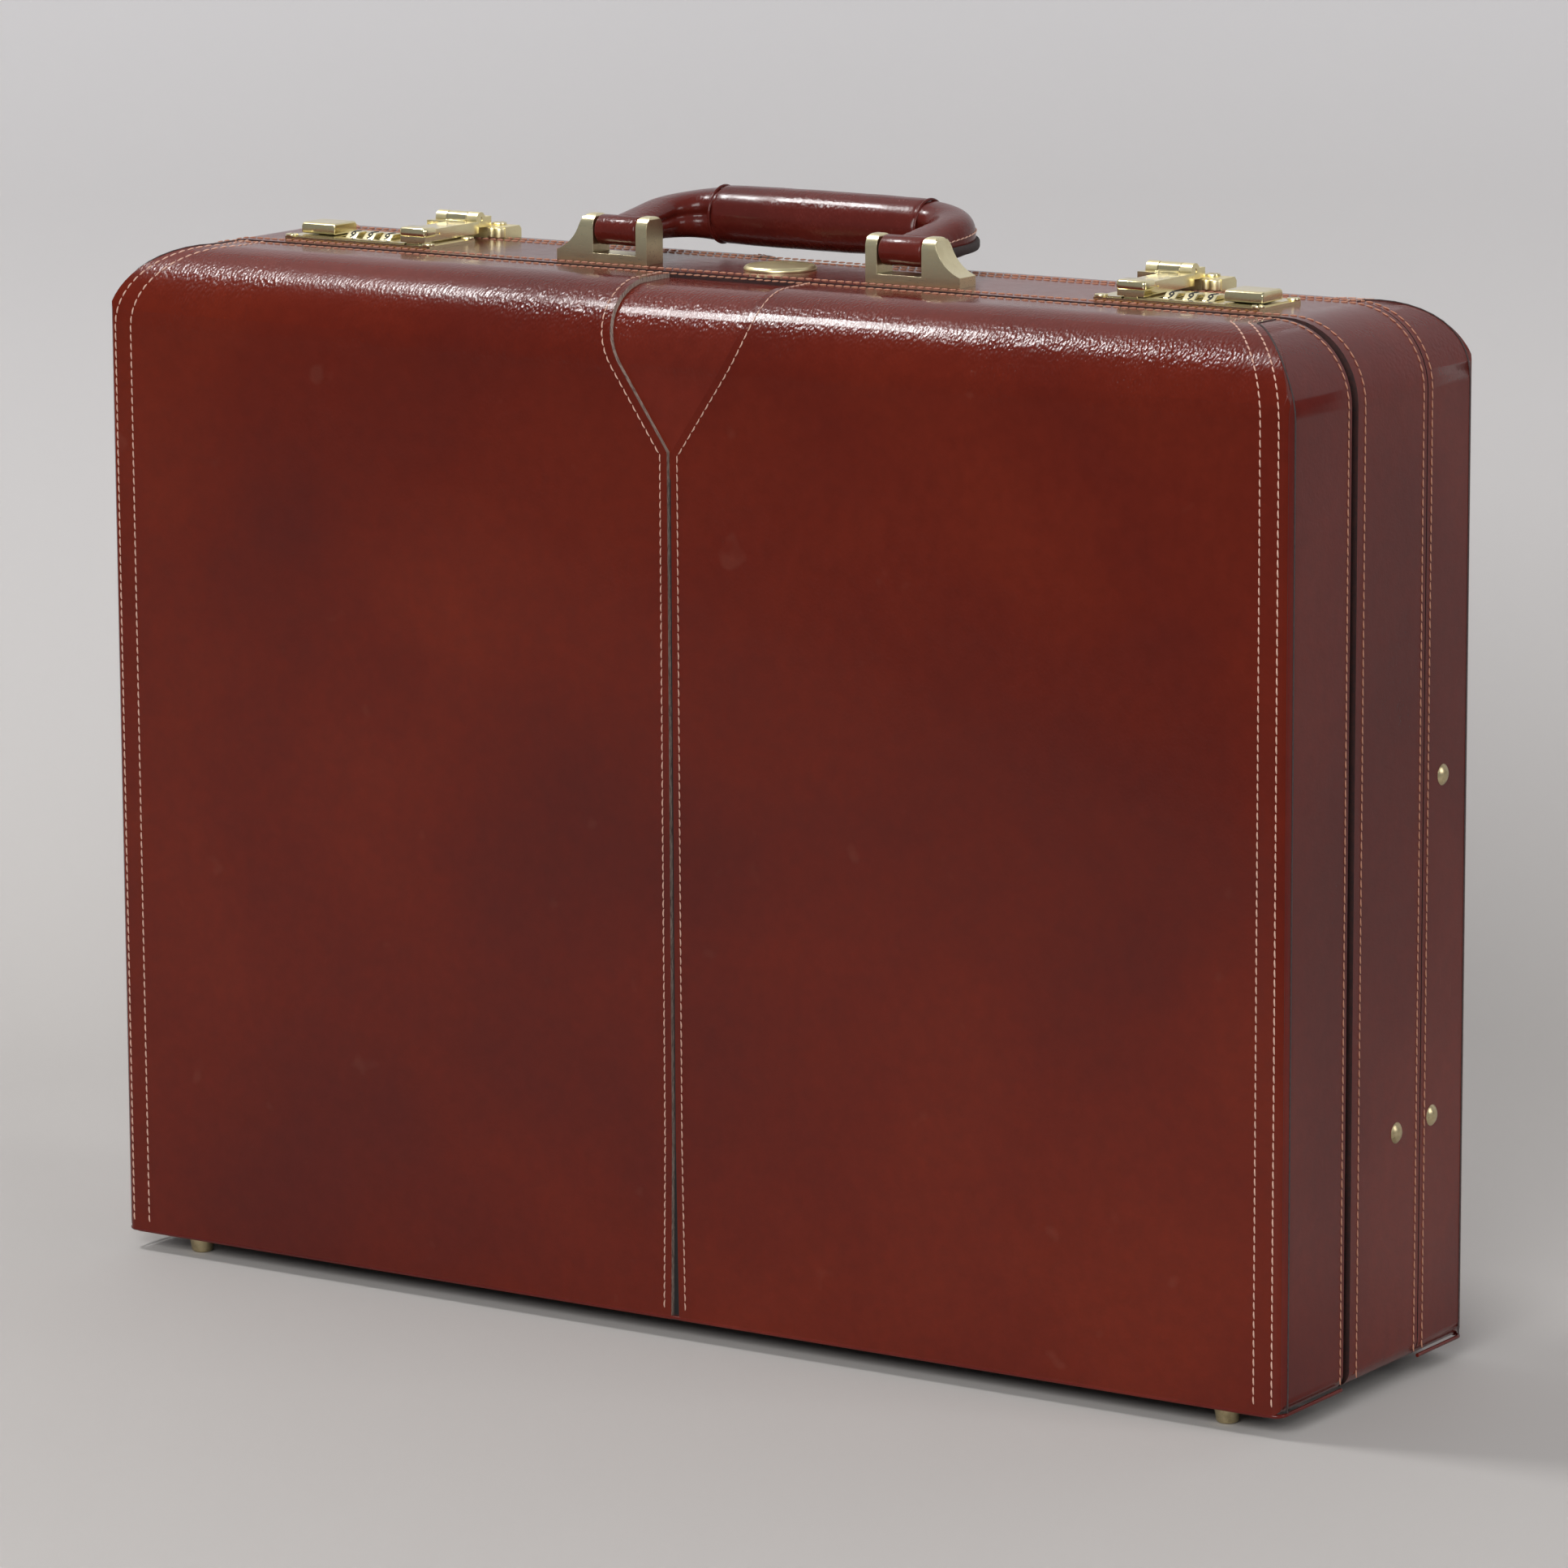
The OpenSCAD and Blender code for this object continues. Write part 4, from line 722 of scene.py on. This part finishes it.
# distance along an arm, half its width, half its height
armSizes = ((0, 8.0, 4.4), (5, 7.8, 4.9), (13, 7.3, 5.8), (22, 7.4, 6.7), (32, 8.0, 7.5), (42, 8.9, 8.6),
            (50, 9.3, 9.3))


# the painted edge and the stitches of an arm: first point, step, count, angle round the arm, lift
armEdge = {"first": 6, "step": 1.5, "count": 26, "angle": -24, "lift": 0.5, "wide": 2.2, "high": 3.0}
armSeam = {"first": 7, "step": 1.5, "count": 25, "angle": 8, "lift": 0.1, "pitch": 2.6}


def folded(x, y, z):
    c, s = math.cos(handle["tilt"]), math.sin(handle["tilt"])
    return Vector((x, handle["y"] + y * c - z * s, handle["z"] + y * s + z * c))


def onHandle(x, y, z):
    return Matrix.Translation(folded(x, y, z) * mm) @ Matrix.Rotation(handle["tilt"], 4, "X")


def paddedGrip():
    bpy.ops.mesh.primitive_cylinder_add(vertices=40, radius=handle["padR"] * mm, depth=handle["padL"] * mm,
                                        end_fill_type="NGON", rotation=(0, math.pi / 2, 0))
    pad = bpy.context.object
    pad.name = "padded_grip"
    bpy.ops.object.transform_apply(location=False, rotation=True, scale=False)
    modify(pad, "BEVEL", width=1.6 * mm, segments=3, limit_method="ANGLE", angle_limit=math.radians(40))
    modify(pad, "REMESH", mode="VOXEL", voxel_size=1.6 * mm)
    applyAll(pad)
    start = [v.co.copy() for v in pad.data.vertices]
    cloth = pad.modifiers.new("Cloth", "CLOTH")
    cloth.settings.use_pressure = True
    cloth.settings.uniform_pressure_force = 4.0
    cloth.settings.effector_weights.gravity = 0.0
    cloth.settings.quality = 5
    for f in range(1, 21):
        bpy.context.scene.frame_set(f)
    applyAll(pad)
    bpy.context.scene.frame_set(1)
    most = handle["padSwell"] * mm
    for v, old in zip(pad.data.vertices, start):
        move = v.co - old
        if move.length > most:
            move *= most / move.length
        v.co = old + move
    # drawn in at both ends and fuller in the middle, with shallow dimples
    for v in pad.data.vertices:
        along = v.co.x / (handle["gripL"] / 2 * mm)
        swell = 1.03 - 0.04 * along * along
        swell += 0.016 * noise.noise(v.co * 90.0)
        v.co.y *= swell
        v.co.z *= swell
    modify(pad, "SUBSURF", levels=1, render_levels=1)
    applyAll(pad)
    smooth(pad, 180)
    return pad


pad = paddedGrip()
endR = {}
for hand in (-1, 1):
    near = [v.co for v in pad.data.vertices if abs(v.co.x - hand * 39.0 * mm) < 0.7 * mm]
    endR[hand] = sum(math.hypot(co.y, co.z) for co in near) / len(near) / mm
pad.matrix_world = onHandle(0, handle["reach"], 0)
settle(pad, "handle", "grip_leather", materials["grip_leather"])
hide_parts("handle_grip")


def armPlace(hand, at):
    # middle of an arm and the direction out of its bend, at a distance along it
    cx, cy = handle["gripL"] / 2, handle["reach"] - handle["bendR"]
    start = 2.4
    x = handle["pitch"] / 2
    if at <= cy - start:
        y = start + at
        lean = (x - cx - handle["bendR"]) * (y / cy)
        return Vector((hand * (x - lean), y)), Vector((hand, 0))
    turn = (at - (cy - start)) / handle["bendR"]
    if turn <= math.pi / 2:
        out = Vector((hand * math.cos(turn), math.sin(turn)))
        return Vector((hand * cx, cy)) + out * handle["bendR"], out
    past = at - (cy - start) - handle["bendR"] * math.pi / 2
    return Vector((hand * (cx - past), handle["reach"])), Vector((0, 1))


def armPoint(hand, at, angle, lift=0.0):
    # a point of an arm's skin; the angle is 0 on the outside of the bend and 90 on top
    a, b = between(armSizes, at)
    mid, out = armPlace(hand, at)
    c, s = math.cos(math.radians(angle)), math.sin(math.radians(angle))
    full = (abs(c) ** 2.5 + abs(s) ** 2.5) ** (-1 / 2.5)
    # a tight fold inside the bend, where the upper leather meets the lower
    fold = abs(((angle + 8) % 360) - 180) / 13.0
    full *= 1 - 0.17 * math.exp(-fold * fold) * min(1.0, at / 10.0)
    flat = mid + out * (a * full * c + lift * c)
    return folded(flat.x, flat.y, b * full * s + lift * s)


def armLine(hand, row):
    return [armPoint(hand, row["first"] + row["step"] * i, row["angle"], row["lift"])
            for i in range(row["count"])]


for hand, label in hands:
    arm = wrap("handle_arm_" + label, 72, 36,
               lambda turn, run: armPoint(hand, run * handle["armL"], turn * 360 * hand))
    modify(arm, "SUBSURF", levels=1, render_levels=1)
    applyAll(arm)
    smooth(arm, 60)
    settle(arm, "handle", "dark_leather", materials["grip_leather"])
    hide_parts("handle_arms")
    # the loop round the bar
    bpy.ops.mesh.primitive_cylinder_add(vertices=40, radius=handle["loopR"] * mm, depth=handle["loopL"] * mm,
                                        end_fill_type="NOTHING", rotation=(0, math.pi / 2, 0))
    loop = bpy.context.object
    loop.name = "handle_loop_" + label
    bpy.ops.object.transform_apply(location=False, rotation=True, scale=False)
    modify(loop, "SOLIDIFY", thickness=(handle["loopR"] - handle["holeR"]) * mm, offset=-1)
    modify(loop, "BEVEL", width=0.7 * mm, segments=3, limit_method="ANGLE", angle_limit=math.radians(40))
    applyAll(loop)
    smooth(loop, 40)
    loop.matrix_world = onHandle(hand * handle["pitch"] / 2, 0, 0)
    settle(loop, "handle", "dark_leather", materials["grip_leather"])
    # its two layers end in a painted edge outside the bend, with a row of stitches above
    edge = layStrip("arm_edge_" + label, armLine(hand, armEdge), armEdge["wide"], armEdge["high"])
    smooth(edge, 40)
    settle(edge, "handle", "dark_leather", materials["dark_edge"])
    sew("arm_stitches_" + label, armLine(hand, armSeam), "handle", "dark_leather", "front_thread",
        armSeam["pitch"])
    # the rolled end of the grip's leather
    bpy.ops.mesh.primitive_torus_add(major_radius=endR[hand] * mm, minor_radius=handle["ringR"] * mm,
                                     major_segments=64, minor_segments=10, rotation=(0, math.pi / 2, 0))
    ring = bpy.context.object
    ring.name = "grip_end_cord_" + label
    bpy.ops.object.transform_apply(location=False, rotation=True, scale=False)
    ring.matrix_world = onHandle(hand * handle["ringX"], handle["reach"], 0)
    smooth(ring, 180)
    settle(ring, "handle", "dark_leather", materials["grip_leather"])
print("handle made")


# screw heads with a slot, which are wider than the frame's plain ones
def screwHead(radius, height):
    bpy.ops.mesh.primitive_cylinder_add(vertices=28, radius=radius * mm, depth=height * mm,
                                        location=(0, 0, height / 2 * mm))
    head = bpy.context.object
    head.name = "screw_head"
    bpy.ops.object.transform_apply(location=True, rotation=False, scale=False)
    modify(head, "BEVEL", width=0.35 * height * mm, segments=2, limit_method="ANGLE",
           angle_limit=math.radians(40))
    applyAll(head)
    bpy.ops.mesh.primitive_cube_add(size=1, location=(0, 0, height * mm))
    blade = bpy.context.object
    blade.scale = (3 * radius * mm, 0.24 * radius * mm, 0.9 * height * mm)
    bpy.ops.object.transform_apply(location=True, rotation=False, scale=True)
    modify(head, "BOOLEAN", operation="DIFFERENCE", object=blade, solver="EXACT")
    applyAll(head)
    bpy.data.objects.remove(blade)
    smooth(head, 30)
    return head


def islands(node):
    # lowest and highest corner of each loose part of a CAD node
    source = frame["nodes"][node]
    work = bmesh.new()
    work.from_mesh(source.data)
    bmesh.ops.remove_doubles(work, verts=work.verts, dist=0.000002)
    seen, boxes = set(), []
    for first in work.verts:
        if first in seen:
            continue
        group, todo = [], [first]
        seen.add(first)
        while todo:
            v = todo.pop()
            group.append(v.co)
            for e in v.link_edges:
                other = e.other_vert(v)
                if other not in seen:
                    seen.add(other)
                    todo.append(other)
        boxes.append((Vector([min(c[i] for c in group) for i in range(3)]),
                      Vector([max(c[i] for c in group) for i in range(3)])))
    work.free()
    return boxes


# radius of the heads and their depth below the frame's tops, how far they stand above, how the slots turn
screws = {"lock_screws": (2.15, 0.85), "hasp_screws": (2.55, 0.9)}
headOver, slotFirst, slotStep = 0.05, 20, 47
for node, (radius, height) in screws.items():
    head = screwHead(radius, height + headOver)
    copies = []
    for i, (low, high) in enumerate(islands(node)):
        one = copyOf(head, "head_%d" % i)
        one.matrix_world = Matrix.Translation(((low.x + high.x) / 2, (low.y + high.y) / 2,
                                               high.z - height * mm)) @ \
            Matrix.Rotation(math.radians(slotFirst + slotStep * i), 4, "Z")
        copies.append(one)
    bpy.data.objects.remove(head)
    choose(*copies)
    bpy.ops.object.join()
    heads = bpy.context.object
    heads.name = node + "_slotted"
    settle(heads, bodyOf[node], slotOf[node], materials["satin_brass"])
    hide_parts(node)
print("screws set")


# the thumb lip at the front of each hasp's lever, a rounded pad as wide as a finger
lip = {"past": 2.0, "front": -9.3, "wide": 11.0, "deep": 7.0, "low": 3.5, "high": 6.95,
       "taper": (0.93, 1, 0.84), "edge": 1.15}
for hand, label in hands:
    place = ((hand * lock["hasp"] + lip["past"]) * mm, (lip["front"] + lip["deep"] / 2) * mm,
             (case["top"] + (lip["low"] + lip["high"]) / 2) * mm)
    bpy.ops.mesh.primitive_cube_add(size=1, location=place)
    thumb = bpy.context.object
    thumb.name = "hasp_lip_" + label
    thumb.scale = (lip["wide"] * mm, lip["deep"] * mm, (lip["high"] - lip["low"]) * mm)
    bpy.ops.object.transform_apply(location=False, rotation=False, scale=True)
    bpy.ops.object.mode_set(mode="EDIT")
    work = bmesh.from_edit_mesh(thumb.data)
    for face in work.faces:
        face.select_set(face.normal.y < -0.9)
    bmesh.update_edit_mesh(thumb.data)
    bpy.ops.transform.resize(value=lip["taper"])
    bpy.ops.object.mode_set(mode="OBJECT")
    modify(thumb, "BEVEL", width=lip["edge"] * mm, segments=4, limit_method="ANGLE",
           angle_limit=math.radians(40))
    applyAll(thumb)
    smooth(thumb, 40)
    settle(thumb, "hasp_" + label, "polished_brass", materials["polished_brass"])
print("hasp lips made")


# size, boldness and thickness of a number, the depth of the axle, where the facets lie, and the top number
digit = {"size": 4.3, "bold": 0.10, "thick": 0.04, "axle": 2.0, "facet": 5.25, "top": 8}


def dialNumbers(hand, label, index):
    digits = []
    for n in range(10):
        bpy.ops.object.text_add()
        text = bpy.context.object
        text.data.body = str(n)
        text.data.size = digit["size"] * mm
        text.data.offset = digit["bold"] * mm
        text.data.align_x = "CENTER"
        text.data.align_y = "CENTER"
        text.data.extrude = digit["thick"] * mm
        text.data.resolution_u = 3
        bpy.ops.object.convert(target="MESH")
        text = bpy.context.object
        turn = Matrix.Rotation(math.radians(36 * (n - digit["top"])), 4, "X")
        axle = Matrix.Translation(Vector((dialX(hand, index), 0, (case["top"] - digit["axle"]) * mm)))
        text.matrix_world = axle @ turn @ Matrix.Translation(Vector((0, 0, digit["facet"] * mm)))
        digits.append(text)
    choose(*digits)
    bpy.ops.object.join()
    numbers = bpy.context.object
    numbers.name = "dial_numbers_%s_%d" % (label, index + 1)
    settle(numbers, "dial_%s_%d" % (label, index + 1), "antique_brass", materials["ink"])


for hand, label in hands:
    for index in range(lock["dials"]):
        dialNumbers(hand, label, index)
print("dials numbered")


# a welt along the bottom of the front shell and the lid
welts = {"inset": 0.45, "r": 0.65, "bendR": 3.6, "mouthGap": 0.6}


def weltLine(side):
    w = case["halfW"] - welts["inset"]
    y1 = side * (case["faceY"] - welts["inset"])
    y0 = side * (mouthOf(side) + welts["mouthGap"])
    z = case["foot"] + welts["r"]
    r = welts["bendR"]
    line = [(w, y0, z), (w, y1 - side * r, z)]
    for i in range(1, 6):
        a = math.radians(18 * i)
        line.append((w - r + r * math.cos(a), y1 - side * (r - r * math.sin(a)), z))
    return line + [(-x, y, zz) for x, y, zz in reversed(line)]


for side, body, label in shells:
    welt = toMesh(fromPoints(label + "_bottom_welt", weltLine(side), welts["r"]))
    smooth(welt, 60)
    settle(welt, body, "side_leather", materials["side_leather"])
print("welts laid")


# stitches along the edges of the organizer's panel and pockets: left, right, foot, top and y
pockets = {"panel": (-202.6, 202.6, 25.0, 300.0, 50.9), "deep_pocket": (-198.6, 198.6, 29.0, 245.0, 49.3),
           "left_pocket": (-194.6, -8.5, 33.0, 160.0, 47.7), "right_pocket": (8.5, 194.6, 33.0, 180.0, 47.7)}
for label, (x0, x1, z0, z1, y) in pockets.items():
    sew(label + "_stitches", [(x0, y, z0), (x0, y, z1), (x1, y, z1), (x1, y, z0)], "lid", "face_leather",
        "side_thread")
print("organizer stitched")
bpy.data.objects.remove(stitch)


# a paper sweep behind the case, square to the camera, that curves up from the floor
stage = {"size": 12, "front": -0.62, "bend": 0.35, "bendR": 0.30, "wallH": 3, "turn": 0.583}
bpy.ops.mesh.primitive_plane_add(size=stage["size"], location=(0, stage["bend"] - stage["size"] / 2, 0))
sweep = bpy.context.object
sweep.name = "paper_sweep"
bpy.ops.object.transform_apply(location=True, rotation=False, scale=False)
bpy.ops.object.mode_set(mode="EDIT")
sweepMesh = bmesh.from_edit_mesh(sweep.data)
for edge in sweepMesh.edges:
    edge.select_set(all(v.co.y > 0 for v in edge.verts))
sweepMesh.select_flush_mode()
bmesh.update_edit_mesh(sweep.data)
bpy.ops.mesh.spin(steps=16, angle=-math.pi / 2, center=(0, stage["bend"], stage["bendR"]),
                  axis=(1, 0, 0))
bpy.ops.mesh.extrude_region_move(TRANSFORM_OT_translate={"value": (0, 0, stage["wallH"])})
bpy.ops.mesh.select_all(action="SELECT")
bpy.ops.mesh.normals_make_consistent(inside=False)
bpy.ops.object.mode_set(mode="OBJECT")
if max(sweep.data.polygons, key=lambda face: face.area).normal.z < 0:
    sweep.data.flip_normals()
sweep.rotation_euler = (0, 0, stage["turn"])
smooth(sweep, 60)
paper = bpy.data.materials.new("Paper")
paper.use_nodes = True
tree = paper.node_tree
place = addNode(tree, "ShaderNodeSeparateXYZ", {0: addNode(tree, "ShaderNodeTexCoord").outputs["Object"]})
shader = tree.nodes["Principled BSDF"]
shader.inputs["Roughness"].default_value = 0.7
# painted shade: the paper is darker and warmer on the floor and grades paler up the sweep to half a metre
# high
paperShadeByHeight = ramp(tree, place.outputs["Z"], (0.0, (0.430, 0.410, 0.392)), (0.5, (0.650, 0.640, 0.650)))
tree.links.new(paperShadeByHeight, shader.inputs["Base Color"])
# the wall is seen from its front alone, and the far floor is seen but not reflected
seen = addNode(tree, "ShaderNodeLightPath").outputs["Is Camera Ray"]
behind = maths(tree, "MULTIPLY", addNode(tree, "ShaderNodeNewGeometry").outputs["Backfacing"], seen)
far = maths(tree, "MULTIPLY", maths(tree, "LESS_THAN", place.outputs["Y"], stage["front"]),
            maths(tree, "SUBTRACT", 1.0, seen))
clear = addNode(tree, "ShaderNodeMixShader", {
    0: maths(tree, "MAXIMUM", behind, far), 1: shader.outputs["BSDF"],
    2: addNode(tree, "ShaderNodeBsdfTransparent").outputs["BSDF"]})
tree.links.new(clear.outputs["Shader"], tree.nodes["Material Output"].inputs["Surface"])
sweep.data.materials.append(paper)
sweep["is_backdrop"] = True

# the world lights the case at a low level, and is a pale wall to the camera
world = bpy.data.worlds.new("Studio")
bpy.context.scene.world = world
world.use_nodes = True
tree = world.node_tree
sky = tree.nodes["Background"]
sky.inputs["Color"].default_value = (0.92, 0.94, 1.0, 1)
sky.inputs["Strength"].default_value = 0.25
wall = addNode(tree, "ShaderNodeBackground", {"Color": (0.60, 0.59, 0.60, 1), "Strength": 1.0})
mixed = addNode(tree, "ShaderNodeMixShader", {
    0: addNode(tree, "ShaderNodeLightPath").outputs["Is Camera Ray"],
    1: sky.outputs["Background"], 2: wall.outputs["Background"]})
tree.links.new(mixed.outputs["Shader"], tree.nodes["World Output"].inputs["Surface"])


def softLight(name, place, target, width, height, power):
    data = bpy.data.lights.new(name, "AREA")
    data.shape = "RECTANGLE"
    data.size, data.size_y = width, height
    data.energy = power
    obj = bpy.data.objects.new(name, data)
    bpy.context.collection.objects.link(obj)
    obj.location = place
    obj.rotation_euler = (Vector(target) - Vector(place)).to_track_quat("-Z", "Y").to_euler()


# place, what it points at, width, height and power
lights = {"key_softbox": ((-1.30, 0.04, 2.35), (0, 0, 0.25), 1.2, 0.20, 70),
          "front_softbox": ((0.9, -2.7, 1.7), (0, 0, 0.2), 1.8, 1.3, 84),
          "side_softbox": ((2.4, 0.3, 1.3), (0, 0, 0.2), 0.9, 1.2, 16)}
for name, values in lights.items():
    softLight(name, *values)

# the camera as it was fitted to the photograph's edges, angles in radians and place in metres
view = {"yaw": 0.5831, "pitch": 0.1883, "roll": -0.0048, "place": (1.3527, -2.0443, 0.6431), "lens": 173.2}
cameraData = bpy.data.cameras.new("camera")
camera = bpy.data.objects.new("camera", cameraData)
bpy.context.collection.objects.link(camera)
yaw, pitch, roll = view["yaw"], view["pitch"], view["roll"]
look = Vector((-math.sin(yaw) * math.cos(pitch), math.cos(yaw) * math.cos(pitch), -math.sin(pitch)))
right = look.cross(Vector((0, 0, 1))).normalized()
up = right.cross(look)
right, up = right * math.cos(roll) + up * math.sin(roll), up * math.cos(roll) - right * math.sin(roll)
turn = Matrix((right, up, -look)).transposed().to_4x4()
camera.matrix_world = Matrix.Translation(Vector(view["place"])) @ turn
cameraData.sensor_width = 36
cameraData.lens = view["lens"]
cameraData.clip_start = 0.05
bpy.context.scene.camera = camera
bpy.context.scene.view_settings.view_transform = "Standard"
print("stage set")

low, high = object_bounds()
